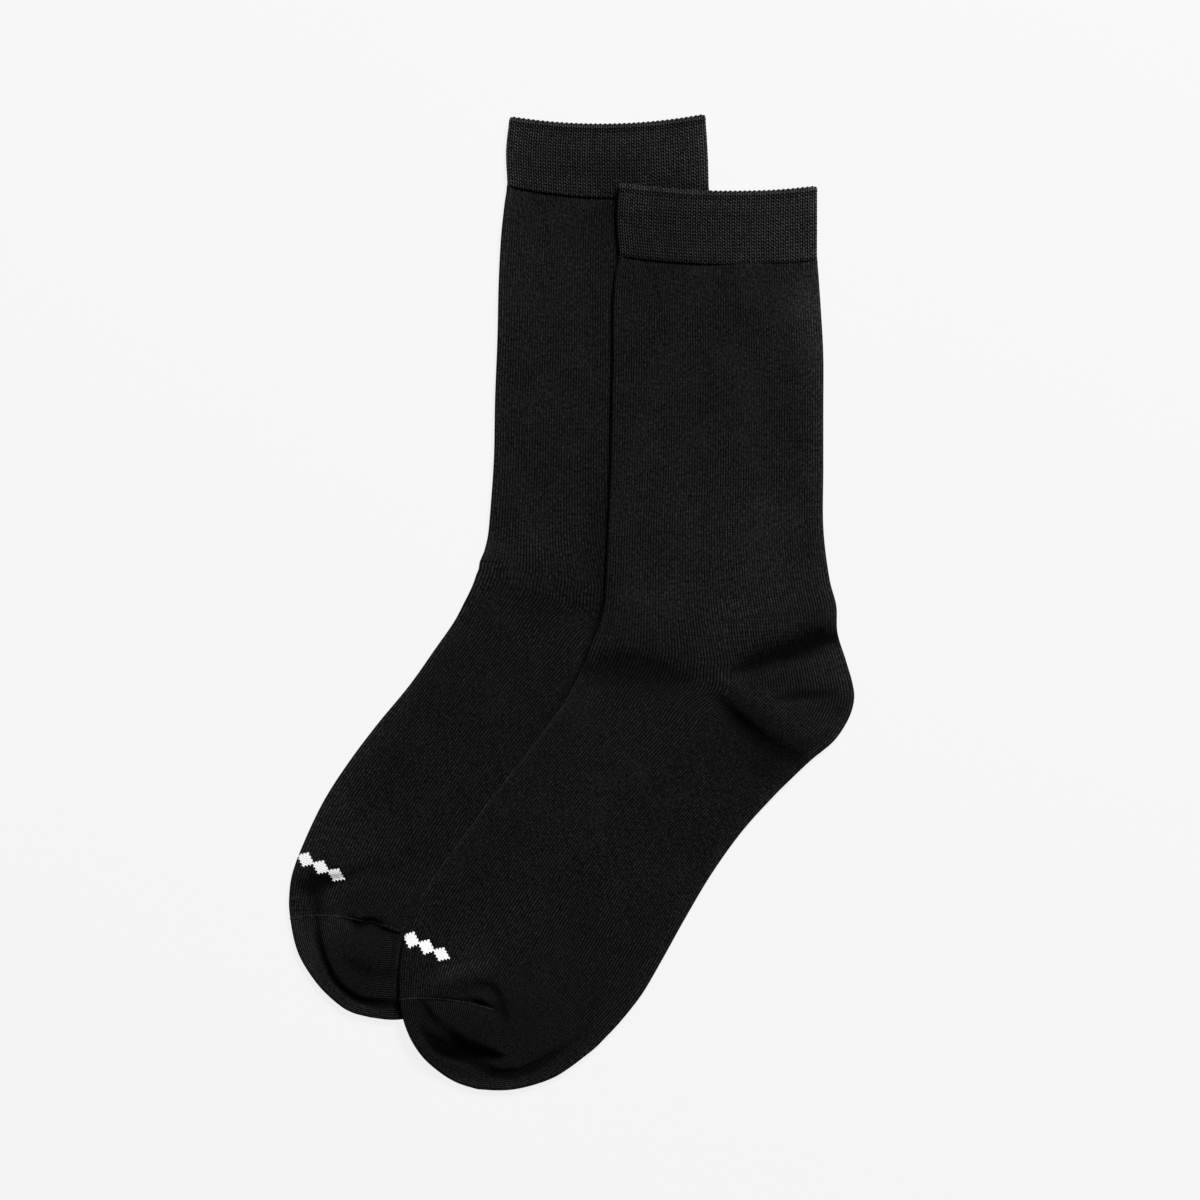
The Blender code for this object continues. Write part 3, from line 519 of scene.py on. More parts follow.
def nearest(line, points, near=None, window=0.0):
    """The distance from each point to a line, how far along the line its nearest place lies, and
    1 on the left of the line or -1 on its right. With near, only places within the window of that
    distance along the line count."""
    start, step, run = line[:-1], np.diff(line, axis=0), run_along(line)
    length = np.maximum(np.linalg.norm(step, axis=1), 1e-9)
    distance, place, side = (np.empty(len(points)) for _ in range(3))
    for i in range(0, len(points), BLOCK):
        block = slice(i, i + BLOCK)
        away = points[block, None, :] - start[None]
        t = np.clip((away * step).sum(-1) / length**2, 0, 1)
        gap = np.linalg.norm(away - t[..., None] * step, axis=-1)
        if near is not None:
            gap = gap + OUT_OF_REACH * (np.abs(run[:-1] - near[block, None]) > window)
        k = gap.argmin(axis=1)
        rows = np.arange(len(k))
        distance[block] = gap[rows, k]
        place[block] = run[k] + t[rows, k] * length[k]
        across = step[k, 0] * away[rows, k, 1] - step[k, 1] * away[rows, k, 0]
        side[block] = np.where(across >= 0, 1.0, -1.0)
    return distance, place, side


def inside(loop, points):
    """Whether each point lies within a closed loop, by counting the edges that a ray crosses."""
    x0, y0 = loop[:, 0], loop[:, 1]
    x1, y1 = np.roll(x0, -1), np.roll(y0, -1)
    rise = np.where(y1 == y0, 1.0, y1 - y0)
    result = np.empty(len(points), bool)
    for i in range(0, len(points), BLOCK):
        block = slice(i, i + BLOCK)
        x, y = points[block, 0:1], points[block, 1:2]
        crosses = ((y0 > y) != (y1 > y)) & (x < (x1 - x0) * (y - y0) / rise + x0)
        result[block] = crosses.sum(axis=1) % 2 == 1
    return result


def side_edges(sock):
    """The fold all round the tube: down the front, round the toe and up the back."""
    sections = sections_at(sock, fine_places(0, len(sock.sections) - 1))
    return np.vstack([sections[:, 0:2], sections[-2::-1, 4:6]])


EDGES = {sock.name: side_edges(sock) for sock in (LOWER, UPPER)}
print("edge length:", {name: round(run_along(e)[-1]) for name, e in EDGES.items()}, "mm")

# %% [markdown]
# ## Heights
# The top of a flat sock is a plate with round edges, plus its mounds, less its troughs. The upper
# sock rides on the lower one, and comes down to the floor outside it in one long soft slope,
# because knitted cloth bridges a low step and doesn't follow its corner.

# %% Mounds and troughs
BANK_POWER = 1.8  # how squarely a crease's banks drop: 2 is the shape of a bell
ROW_POINTS = 8  # points of a trough's line for each of its rows


def ease(t):
    """A smooth step from 0 at t = 0 to 1 at t = 1."""
    t = np.clip(t, 0, 1)
    return t * t * (3 - 2 * t)


def bell(distance, reach, power=2):
    return np.exp(-((distance / reach) ** power))


def mound_rise(mounds, points):
    rise = np.zeros(len(points))
    for mound in mounds:
        turn = math.radians(mound.turn_degrees)
        x, y = points[:, 0] - mound.x, points[:, 1] - mound.y
        u = (x * math.cos(turn) + y * math.sin(turn)) / mound.reach_along
        v = (y * math.cos(turn) - x * math.sin(turn)) / mound.reach_across
        rise += mound.rise * np.exp(-(u**2) - v**2)
    return rise


def along_rows(tables, points):
    """The depth of all troughs, or the paleness of all streaks, at each point."""
    total = np.zeros(len(points))
    for rows in tables.values():
        fine = smooth_rows(rows, np.linspace(0, len(rows) - 1, ROW_POINTS * len(rows)))
        run = run_along(fine[:, 0:2])
        distance, place, side = nearest(fine[:, 0:2], points)
        left, right, amount = (np.interp(place, run, fine[:, i]) for i in (2, 3, 4))
        width = np.where(side > 0, left, right)
        total += np.maximum(amount, 0) * bell(distance, width, BANK_POWER)
    return total


heel = np.array([[33.0, -209.0]])
print("the heel's pillow rises", round(float(mound_rise(UPPER.mounds, heel)[0]), 1), "mm")

# %% What the upper sock lies on
STEP_START = 8.0  # the slope starts this far outside the lower sock,
STEP_DOWN = 22.0  # comes down over this length,
STEP_ROUNDING = 6.0  # and has no bend in it sharper than this
CUFF_CLIMB = 8.0  # the upper sock climbs onto the lower one's thicker cuff over this length
GROUND_STEP = 3.0  # heights under the upper sock are kept on a grid of this pitch,
GROUND_SPAN = ((-150, 76), (-396, 24))  # over this much of its own plan


def cover(loop, points):
    """1 over the lower sock's plan, easing to 0 outside it."""
    distance = nearest(np.vstack([loop, loop[:1]]), points)[0]
    return ease(1 - (np.where(inside(loop, points), 0, distance) - STEP_START) / STEP_DOWN)


def make_ground():
    """The height that the upper sock rests at, on a grid in its own plan. The cover is averaged
    over two rings of places round each point, so that the slope has no corner."""
    xs, ys = (np.arange(low, high, GROUND_STEP) for low, high in GROUND_SPAN)
    grid = np.stack(np.meshgrid(xs, ys, indexing="ij"), axis=-1).reshape(-1, 2)
    seen = grid + np.subtract(UPPER.place, LOWER.place)
    loop = EDGES["lower"]
    covered, count = cover(loop, seen), 1
    for reach, spokes in ((STEP_ROUNDING / 2, 6), (STEP_ROUNDING, 10)):
        for i in range(spokes):
            turn = math.tau * i / spokes
            shift = [reach * math.cos(turn), reach * math.sin(turn)]
            covered, count = covered + cover(loop, seen + shift), count + 1
    distance = nearest(loop, seen)[0]
    rise = mound_rise(LOWER.mounds, seen) * ease(distance / SLACK_REACH) * inside(loop, seen)
    hem_y = LOWER.sections[row_number(LOWER, "hem")].bend_y
    on_cuff = ease((seen[:, 1] - hem_y) / CUFF_CLIMB + 1)
    top = FLAT_BODY + rise + on_cuff * (FLAT_CUFF + RIB_RISE - FLAT_BODY)
    height = (top + REST_GAP) * covered / count
    return xs, ys, height.reshape(len(xs), len(ys))


GROUND_X, GROUND_Y, GROUND = make_ground()


def ground_under(sock, points):
    """The height of what a sock lies on, read from the grid with smooth (cubic) steps."""
    if sock is LOWER:
        return np.zeros(len(points))
    fx = np.clip((points[:, 0] - GROUND_X[0]) / GROUND_STEP, 1, len(GROUND_X) - 3.001)
    fy = np.clip((points[:, 1] - GROUND_Y[0]) / GROUND_STEP, 1, len(GROUND_Y) - 3.001)
    i, j = fx.astype(int), fy.astype(int)
    u, v = fx - i, fy - j

    def weights(t):
        return (
            0.5 * (-t + 2 * t**2 - t**3), 0.5 * (2 - 5 * t**2 + 3 * t**3),
            0.5 * (t + 4 * t**2 - 3 * t**3), 0.5 * (t**3 - t**2),
        )

    height = 0
    for a, wa in zip((-1, 0, 1, 2), weights(u)):
        for b, wb in zip((-1, 0, 1, 2), weights(v)):
            height = height + wa * wb * GROUND[i + a, j + b]
    return height


print("the upper sock rests up to", round(float(GROUND.max()), 2), "mm above the floor")

# %% The height of the cloth, and its painted light and shade
LEAST_THICKNESS = 1.9  # two walls with nothing between them
CREASE_REACH = 2.5  # creases fade in over this distance from a fold
UNDER_LIFT = 0.16  # the underside rises by this share of a crease's depth,
UNDER_DEEPEST = 2.0  # of which no more than this counts,
UNDER_SHADE = 0.3  # and is painted with shade by this share of it
FOLD_LIGHT_REACH = 1.2  # painted light along a fold, as if fibres stood off it, fades over about this distance,
FOLD_LIGHT_PAINTED = 0.8  # and makes it paler by this share, as if the floor behind lit the fibres
WIDE_FOLD_LIGHT_REACH = 5.0  # and weaker painted light fades over this
WIDE_FOLD_LIGHT_PAINTED = 0.22


def cloth_heights(sock, plan, is_top):
    """Heights of the outer face over plan points, and how deep in a trough each point lies, which the
    material paints as shade in creases; underneath, a share of that depth.
    """
    reach = nearest(EDGES[sock.name], plan)[0]
    turn = 1 - np.clip(reach / FOLD_RADIUS, 0, 1)
    half = FOLD_RADIUS * np.sqrt(1 - turn**2)
    mounds = mound_rise(sock.mounds, plan) * ease(reach / SLACK_REACH)
    deep = along_rows(sock.troughs, plan)
    full = FLAT_BODY + mounds
    room = full - LEAST_THICKNESS
    cut = deep * ease(reach / CREASE_REACH)
    sunk = cut * room / (cut**4 + room**4) ** 0.25  # never deeper than the cloth has room for
    top = FOLD_RADIUS + half + (full - sunk - 2 * FOLD_RADIUS) * ease(reach / FOLD_REACH)
    under = FOLD_RADIUS - half + UNDER_LIFT * np.minimum(deep, UNDER_DEEPEST)
    height = np.where(is_top, top, under) + ground_under(sock, plan)
    return height, np.where(is_top, deep, UNDER_SHADE * deep)


def painted_light_and_nap_at(sock, plan, is_top):
    """The share by which the cloth is painted paler. Folds get painted light, as if the floor lit
    their fibres from behind, only where the floor is behind them and not the other sock. On the top
    face the tones and streaks add painted light and shade and other paler and darker places."""
    reach = nearest(EDGES[sock.name], plan)[0]
    # Painted light along a fold.
    painted_fold_light = FOLD_LIGHT_PAINTED * np.exp(-reach / FOLD_LIGHT_REACH) + WIDE_FOLD_LIGHT_PAINTED * bell(reach, WIDE_FOLD_LIGHT_REACH)
    beside_floor = 1 - np.clip(ground_under(sock, plan) / FLAT_BODY, 0, 1)
    # Painted light and shade of the tones and streaks, with other paler and darker places.
    tones_painted_light_and_shade = mound_rise(sock.tones, plan) + along_rows(sock.streaks, plan)
    return painted_fold_light * beside_floor + np.where(is_top, tones_painted_light_and_shade, 0)


print("the heel is", round(float(cloth_heights(UPPER, heel, True)[0][0]), 1), "mm high")

# %% [markdown]
# ## Where each stitch lies
# A knitted stitch has two numbers: its wale (column) and its course (row). On the front half of
# the sock the wales follow the sections. On the back half they run parallel to the outer edge:
# down the calf, round the heel, along the sole, round the toe and up to the toe seam. Where two
# parts of that edge are equally near, the wales meet in a mitre, which is just how the short rows
# of a knitted heel and toe meet along their gore lines. So the distance to the edge gives the wale
# and the distance along it gives the course. Both go into a UV map that the knit pattern reads.


# %% The stitch map
HALF_FACE = WALES / 2  # wales in the front half of a face, and in its back half
MITRE_STEP = 12.0  # a corner this much farther along than its face lies across a mitre


def fold_arc(distance):
    """How far a point is from the fold's outermost line, measured round the fold's curve."""
    turn = np.arccos(1 - np.clip(distance / FOLD_RADIUS, 0, 1))
    return FOLD_RADIUS * turn + np.maximum(distance - FOLD_RADIUS, 0)


def outer_route(sock):
    """The edge that the back half's wales follow, from the mouth to the toe seam's front end, and
    the width in millimetres of the back half beside each of its points."""
    seam = row_number(sock, "toe_seam")
    last = len(sock.sections) - 1
    down = sections_at(sock, fine_places(0, last))
    up = sections_at(sock, fine_places(last, seam))
    route = np.vstack([down[:, 4:6], up[1:, 0:2]])
    side = ring_lines(sections_at(sock, fine_places(0, seam)), [0.5])[:, 0]
    half = nearest(side, route)[0]
    return route, half


def front_run(sock):
    """Places along the sock, and how far down it the middle of the front half has come."""
    places = fine_places(0, len(sock.sections) - 1)
    line = ring_lines(sections_at(sock, places), [0.25])[:, 0]
    return places, run_along(line)


def stitch_numbers(sock, stations, across, plan, quads):
    """(wale, course) for each corner of each face. plan holds the vertices' plan points, quads the
    faces' vertex numbers, stations and across each vertex's place along and across the sock."""
    seam = row_number(sock, "toe_seam")
    is_front = (across[quads].mean(axis=1) < 1) & (stations[quads].mean(axis=1) < seam)
    route, half = outer_route(sock)
    distance, place, _ = nearest(route, plan)
    centre_place = nearest(route, plan[quads].mean(axis=1))[1]
    corner = quads.ravel()
    corner_place, corner_distance = place[corner], distance[corner]
    wanted = np.repeat(centre_place, 4)
    torn = np.abs(corner_place - wanted) > MITRE_STEP
    corner_distance[torn], corner_place[torn], _ = nearest(
        route, plan[corner[torn]], wanted[torn], MITRE_STEP
    )
    width = np.interp(corner_place, run_along(route), half)
    wale = WALES - HALF_FACE * fold_arc(corner_distance) / fold_arc(width)
    course = corner_place / COURSE
    front = np.repeat(is_front, 4)
    wale[front] = HALF_FACE * across[corner][front]
    course[front] = np.interp(stations, *front_run(sock))[corner][front] / COURSE
    return np.column_stack([wale, course])


for sock in (LOWER, UPPER):
    route, half = outer_route(sock)
    print(sock.name, "outer wale:", round(run_along(route)[-1]), "mm long")

# %% [markdown]
# ## The knitted tube: leg, heel pocket, foot and toe pocket
# The whole tube below the cuff is one piece of cloth. A real one has no seam except at the toe, so
# one mesh serves from the hem to the tip. It is made ring by ring from the tables, as an open
# sheet, and a Solidify modifier then gives it the thickness of the cloth.

# %% Rings of the tube
RING_PITCH = [  # distance between rings in millimetres: finer where there are creases
    ("hem", 1.0), ("leg_2", 2.4), ("leg_7", 2.4), ("ankle", 1.1), ("foot_1", 1.1), ("foot_2", 2.4),
    ("foot_7", 2.4), ("foot_8", 0.9), ("tip", 0.75),
]
TOP_CELLS = 120  # across the face that shows
UNDER_CELLS = 18  # and across the one underneath
CORNER_CELLS = 4  # in each quarter turn of a fold
TOP_COUNT = TOP_CELLS + 2 * CORNER_CELLS  # cells from one fold over the top to the other
MEASURED = 60  # places to a row of a table where distances along the sock are measured
LINE_POINTS = 97  # points of a section's line, with one in its middle
TUBE_GAP = 0.005  # in rows: the tube starts a hair's breadth below the cuff


def places_along(sock, first, last):
    """Places whose rings are a pitch apart along whichever edge moves more."""
    places = fine_places(first, last, MEASURED)
    sections = sections_at(sock, places)
    steps = [np.linalg.norm(np.diff(sections[:, i : i + 2], axis=0), axis=1) for i in (0, 4)]
    rows, pitches = zip(*[(row_number(sock, name), pitch) for name, pitch in RING_PITCH])
    pitch = np.interp((places[1:] + places[:-1]) / 2, rows, pitches)
    run = np.concatenate([[0], np.cumsum(np.maximum(*steps) / pitch)])
    return np.interp(np.linspace(0, run[-1], math.ceil(run[-1]) + 1), run, places)


def face_distances(length, cells):
    """Distances across one face of a ring, closer together where it turns over."""
    radius = min(FOLD_RADIUS, length / 4)
    corner = radius * (1 - np.cos(np.linspace(0, math.pi / 2, CORNER_CELLS + 1)[:-1]))
    flat = np.linspace(radius, length - radius, cells + 1)
    return np.concatenate([corner, flat, length - corner[::-1]])


def ring_points(line):
    """Plan points of one ring, from the front fold over the top and back underneath, and each
    one's place across: 0 at the front fold, 1 in the middle and 2 at the back fold."""
    run = run_along(line)
    length, half = run[-1], run[LINE_POINTS // 2]
    top, under = (face_distances(length, cells) for cells in (TOP_CELLS, UNDER_CELLS))
    order = np.concatenate([top, under[-2:0:-1]])
    across = np.where(
        order <= half,
        fold_arc(np.minimum(order, half)) / fold_arc(half),
        2 - fold_arc(length - order) / fold_arc(length - half),
    )
    return at_distances(line, order), across


def ring_quads(rings, count, joined=False):
    """Faces between rings of count points each. joined joins the last ring to the first."""
    near = np.arange(rings if joined else rings - 1)[:, None]
    far = (near + 1) % rings
    here = np.arange(count)[None]
    there = (here + 1) % count
    corners = [near * count + here, far * count + here, far * count + there, near * count + there]
    return np.stack(corners, axis=-1).reshape(-1, 4)


sample = ring_points(ring_lines(sections_at(UPPER, [5]), np.linspace(0, 1, LINE_POINTS))[0])[0]
print("a ring has", len(sample), "points")


# %% The tube as a mesh
def make_mesh(name, vertices, faces, stitches, values):
    """A mesh object from arrays in millimetres, with its stitch map and values at its vertices."""
    mesh = bpy.data.meshes.new(name)
    mesh.from_pydata((vertices * MM).tolist(), [], faces)
    mesh.uv_layers.new(name="stitches").data.foreach_set("uv", stitches.ravel())
    for title, numbers in values.items():
        mesh.attributes.new(title, "FLOAT", "POINT").data.foreach_set("value", numbers)
    mesh.shade_smooth()
    thing = bpy.data.objects.new(name, mesh)
    bpy.context.scene.collection.objects.link(thing)
    return thing


def apply_modifiers(thing):
    bpy.ops.object.select_all(action="DESELECT")
    thing.select_set(True)
    bpy.context.view_layer.objects.active = thing
    for modifier in list(thing.modifiers):
        bpy.ops.object.modifier_apply(modifier=modifier.name)


def make_tube(sock):
    """The cloth from the hem to the tip of the toe."""
    hem, tip = row_number(sock, "hem"), len(sock.sections) - 1
    places = places_along(sock, hem, tip)[:-1]
    places[0] += TUBE_GAP
    lines = ring_lines(sections_at(sock, places), np.linspace(0, 1, LINE_POINTS))
    plans, shares = zip(*[ring_points(line) for line in lines])
    rings, count = len(lines), len(plans[0])
    plan = np.vstack(plans)
    number = np.tile(np.arange(count), rings)  # of each point in its ring
    is_top = number <= TOP_COUNT
    # shade is the depth of the creases, which the material turns into painted shade.
    heights, shade = cloth_heights(sock, plan, is_top)
    # Painted light along the folds, and the painted light and shade of the tones and streaks.
    nap_and_painted_light = painted_light_and_nap_at(sock, plan, is_top)
    taut = np.minimum(mound_rise(sock.taut, plan), 1)
    edge = np.isin(number, (0, TOP_COUNT))
    heights[edge] = FOLD_RADIUS + ground_under(sock, plan[edge])

    # One point closes the tip, with a fan of triangles from the last ring.
    tip_plan = sections_at(sock, [tip])[:, 0:2]
    tip_height = FOLD_RADIUS + ground_under(sock, tip_plan)
    plan = np.vstack([plan, tip_plan])
    stations = np.append(np.repeat(places, count), tip)
    across = np.append(np.concatenate(shares), 1.0)
    quads = ring_quads(rings, count)
    here = np.arange(count)
    last = (rings - 1) * count
    fan = np.column_stack([last + here, np.full(count, rings * count), last + (here + 1) % count])

    uv = stitch_numbers(sock, stations, across, plan, quads)
    fan_uv = stitch_numbers(sock, stations, across, plan, fan[:, [0, 1, 2, 2]])
    fan_uv = fan_uv.reshape(-1, 4, 2)[:, :3].reshape(-1, 2)
    vertices = np.column_stack([plan + sock.place, np.append(heights, tip_height)])
    values = {
        "trough": np.append(shade, 0),
        "nap_and_painted_light": np.append(nap_and_painted_light, FOLD_LIGHT_PAINTED),
        "taut": np.append(taut, 1),
    }
    faces = quads.tolist() + fan.tolist()
    thing = make_mesh(f"{sock.name}_knitted_tube", vertices, faces, np.vstack([uv, fan_uv]), values)
    wall = thing.modifiers.new("cloth", "SOLIDIFY")
    wall.thickness, wall.offset = BODY_WALL * MM, -1
    apply_modifiers(thing)
    return thing


tubes = {sock.name: make_tube(sock) for sock in (LOWER, UPPER)}
for name, tube in tubes.items():
    print(tube.name, "has", len(tube.data.polygons), "faces")

# %% [markdown]
# ## The cuff
# The cuff is a turned band of mock rib. A rib is about 2 mm wide and has two columns of loops, 1.4
# mm high: level loops on its left and slanted ones on its right, with a dark hole between. That is
# large enough to see from a step away, so it is real geometry here and not only a bump map. The
# band is modelled as one closed loop of cloth: down its outer face, round the hem, up the plain
# inner face and round the mouth.

# %% The way round a flattened tube
CELLS_PER_RIB = 6


def round_section(length, count):
    """Points spaced evenly round a ring, from the front fold over the top and back underneath:
    distance across the face, share of the way up or down, and the outward direction there."""
    quarter = FOLD_RADIUS * math.pi / 2
    flat = length - 2 * FOLD_RADIUS
    perimeter = 2 * flat + 4 * quarter
    q = np.arange(count) / count * perimeter
    over = np.minimum(q, perimeter - q)
    sign = np.where(q <= perimeter / 2, 1.0, -1.0)
    first = np.clip(over / FOLD_RADIUS, 0, math.pi / 2)
    second = np.clip((perimeter / 2 - over) / FOLD_RADIUS, 0, math.pi / 2)
    distance = np.where(
        over < quarter,
        FOLD_RADIUS * (1 - np.cos(first)),
        np.where(
            over > quarter + flat,
            length - FOLD_RADIUS * (1 - np.cos(second)),
            FOLD_RADIUS + over - quarter,
        ),
    )
    in_front, behind = over < quarter, over > quarter + flat
    out = np.where(in_front, -np.cos(first), np.where(behind, np.cos(second), 0))
    up = sign * np.where(in_front, np.sin(first), np.where(behind, np.sin(second), 1))
    return distance, out, up


POINTS_ROUND = 2 * RIBS * CELLS_PER_RIB
print("a ring of the cuff has", len(round_section(CUFF_WIDTH, POINTS_ROUND)[0]), "points")

# %% The relief of the rib
HOLE_DEPTH = 0.4
HOLE_WIDTH = 0.2  # in ribs
ARM_LEAST = 0.2  # how high the cloth is beside a column of loops, as a share of RIB_RISE,
LOOP_LEAST = 0.3  # and between one loop and the next
LOOP_SLOPE = 2.0  # rows that a rib's right-hand loops fall by in the width of a rib
LOOP_RAISE = 0.15  # and how far above the left-hand ones they start
CLOSED_ROWS = 0.3  # the mouth's own row has no holes,
OPENING_ROWS = 1.4  # and they open over these rows
SIZES = 40  # rows of loops that differ in size before the same ones come again
bumps = np.random.default_rng(7).uniform(0.8, 1.05, (2 * RIBS, SIZES))


def rib_relief(column, row):
    """Height of the mock rib: a level loop and a slanted one side by side, with a hole between."""
    x = column - np.floor(column) - 0.5
    loop = 0.5 + 0.5 * np.cos(math.tau * (row - np.where(x > 0, LOOP_SLOPE * x - LOOP_RAISE, 0)))
    size = bumps[np.floor(column).astype(int) % (2 * RIBS), np.floor(row).astype(int) % SIZES]
    arm = 0.5 - 0.5 * np.cos(2 * math.tau * x)
    hole = (1 - loop) ** 1.5 * bell(x, HOLE_WIDTH) * ease((row - CLOSED_ROWS) / OPENING_ROWS)
    raised = (ARM_LEAST + (1 - ARM_LEAST) * arm) * (LOOP_LEAST + (1 - LOOP_LEAST) * loop)
    return RIB_RISE * size * raised - HOLE_DEPTH * hole


print("loops differ in size from", round(bumps.min(), 2), "to", round(bumps.max(), 2))

# %% The cuff as a mesh
CELLS_PER_ROW = 5
TURN_RINGS = 5  # in each turned edge
INNER_RINGS = 8
CUFF_GAP = 0.05  # the cuff stops this far above the hem's section
RIM_ROUND = 0.2  # how far along the cuff its hem's round end reaches
FACE_FADE = 0.6  # the relief fades in over this distance from the mouth and the hem,
FACE_SHARE = 0.6  # and out within this share of the wall
ROLL_RISE, ROLL_DROP, ROLL_WIDTH = 0.6, 1.7, 1.1  # the soft roll below the mouth
SCALLOP = 0.5  # each rib ends in a small round loop at the mouth
CORNER = 2.0  # the mouth's corners are round,
CORNER_DROP = 0.6  # by this share of a full quarter circle
MOUTH_REACH = 1.3  # scallops and corners fade out over this distance
HEM_LIP = 0.25  # the double cuff's face hangs this far over the leg at the hem,
HEM_ARCH = 0.4  # and each rib's last loop this much farther
LIP_REACH, LIP_THICKNESS = 0.8, 0.35
RIM_LIGHT, RIM_DROP, RIM_WIDTH = 0.3, 0.9, 0.8  # painted light along the mouth's roll,
HEM_SHADE, SHADE_WIDTH = 0.35, 1.3  # and painted shade along the hem


def cuff_steps(long):
    """Rings round the band, each as its distance below the mouth and its depth in the wall."""
    half_wall = CUFF_WALL / 2
    rows = round(long / RIB_ROW)
    outer = [(d, 0.0) for d in np.linspace(half_wall, long - RIM_ROUND, rows * CELLS_PER_ROW)]
    turns = [(math.sin(a), 1 - math.cos(a)) for a in np.linspace(0, math.pi, TURN_RINGS + 2)[1:-1]]
    hem = [(long - RIM_ROUND * (1 - s), half_wall * c) for s, c in turns]
    inner = [(d, CUFF_WALL) for d in np.linspace(long - RIM_ROUND, half_wall, INNER_RINGS)]
    mouth = [(half_wall * (1 - s), CUFF_WALL - half_wall * c) for s, c in turns]
    return outer + hem + inner + mouth


def cuff_ring(sock, line, down, deep, long):
    """One ring of the band: its points in millimetres, its stitch numbers, and its painted light
    and shade.
    """
    length = run_along(line)[-1]
    distance, out, up = round_section(length, POINTS_ROUND)
    column = np.arange(POINTS_ROUND) / CELLS_PER_RIB
    row = np.full(POINTS_ROUND, down / RIB_ROW)
    on_face = ease(1 - deep / (FACE_SHARE * CUFF_WALL)) * ease(min(down, long - down) / FACE_FADE)
    facing = np.maximum(up, 0) ** 2
    roll = facing * ROLL_RISE * bell(down - ROLL_DROP, ROLL_WIDTH)
    lift = on_face * (rib_relief(column, row) + roll - (1 - facing) * RIB_RISE)
    reach = np.minimum(distance, length - distance)
    corner = CORNER * (1 - np.sqrt(1 - (1 - np.clip(reach / CORNER, 0, 1)) ** 2))
    arch = np.abs(np.cos(math.pi * (column - np.floor(column) - 0.5)))
    lip = (HEM_LIP + HEM_ARCH * arch) * facing
    lip *= ease(1 - (long - down) / LIP_REACH) * ease(1 - deep / LIP_THICKNESS)
    plan = at_distances(line, distance + out * (lift - deep))
    plan[:, 1] += (SCALLOP * arch - CORNER_DROP * corner) * bell(down, MOUTH_REACH) - lip
    spare = (FLAT_CUFF - 2 * FOLD_RADIUS) * ease(reach / FOLD_REACH)
    top = FOLD_RADIUS + FOLD_RADIUS * up + np.where(up > 0, spare, 0)
    base = at_distances(line, distance)
    height = top + up * (lift - deep) + ground_under(sock, base)
    # Painted light along the mouth and painted shade along the hem.
    rim = RIM_LIGHT * bell(down - RIM_DROP, RIM_WIDTH) - HEM_SHADE * bell(long - down, SHADE_WIDTH)
    nap_and_painted_light = painted_light_and_nap_at(sock, base, up >= 0) + rim
    return np.column_stack([plan + sock.place, height]), np.column_stack([column, row]), nap_and_painted_light


def make_cuff(sock):
    """The double band, as one closed loop of rings."""
    places = fine_places(0, row_number(sock, "hem"), MEASURED)
    sections = sections_at(sock, places)
    drop = (run_along(sections[:, 0:2]) + run_along(sections[:, 4:6])) / 2
    long = drop[-1] - CUFF_GAP
    rings = []
    for down, deep in cuff_steps(long):
        section = sections_at(sock, np.interp(down, drop, places))
        line = ring_lines(section, np.linspace(0, 1, LINE_POINTS))[0]
        rings.append(cuff_ring(sock, line, down, deep, long))
    vertices, stitches, nap_and_painted_light = zip(*rings)
    quads = ring_quads(len(rings), POINTS_ROUND, joined=True)
    numbers = np.vstack(stitches)[quads]
    column = numbers[:, :, 0]
    wrapped = column.max(axis=1) - column.min(axis=1) > RIBS  # the last cell of a ring
    column[wrapped] += np.where(column[wrapped] < RIBS, 2 * RIBS, 0)
    values = {"nap_and_painted_light": np.concatenate(nap_and_painted_light)}
    name = f"{sock.name}_ribbed_cuff"
    return make_mesh(name, np.vstack(vertices), quads.tolist(), numbers.reshape(-1, 2), values)


cuffs = {sock.name: make_cuff(sock) for sock in (LOWER, UPPER)}
for cuff in cuffs.values():
    print(cuff.name, "has", len(cuff.data.polygons), "faces")

# %% [markdown]
# ## The linked toe seam
# The toe pocket is closed to the foot by linking: a fine chain of loops joins the two edges stitch
# by stitch, from one side of the toes over the instep to the other. Each loop is a small slanted
# bead of yarn. One bead is modelled from a sphere, flattened in edit mode, and copied along the
# seam with a slight change of slant.

# %% A bead of linking yarn, one to a wale
BEAD_RADIUS = 0.36
BEAD_SHAPE = (1.0, 1.35, 0.62)  # longer than wide, and flattened
BEAD_SLANT, SLANT_CHANGE, SLANT_RHYTHM = 0.45, 0.12, 5.1  # in radians, the last for each bead
SEAM_SHARE = 0.52  # of the toe seam's line that is linked, from its front edge
SEAM_POINTS = 60
OUTWARDS = Vector((-1.0, 0.2, 0.0))  # from the front fold where the seam crosses it
AHEAD = 0.5  # a bead points at the place this far along the seam
DRAWN_IN = 0.3  # beads underneath lie this much higher, so that they stay off the floor


def make_bead():
    bpy.ops.object.select_all(action="DESELECT")
    bpy.ops.mesh.primitive_uv_sphere_add(segments=8, ring_count=6, radius=BEAD_RADIUS * MM)
    bead = bpy.context.object
    bead.name = "linking_bead"
    bpy.ops.object.mode_set(mode="EDIT")
    bpy.ops.mesh.select_all(action="SELECT")
    bpy.ops.transform.resize(value=BEAD_SHAPE)
    bpy.ops.object.mode_set(mode="OBJECT")
    return bead


def join(things, name):
    bpy.ops.object.select_all(action="DESELECT")
    for thing in things:
        thing.select_set(True)
    bpy.context.view_layer.objects.active = things[0]
    bpy.ops.object.join()
    joined = bpy.context.object
    joined.name = name
    joined.data.shade_smooth()
    return joined


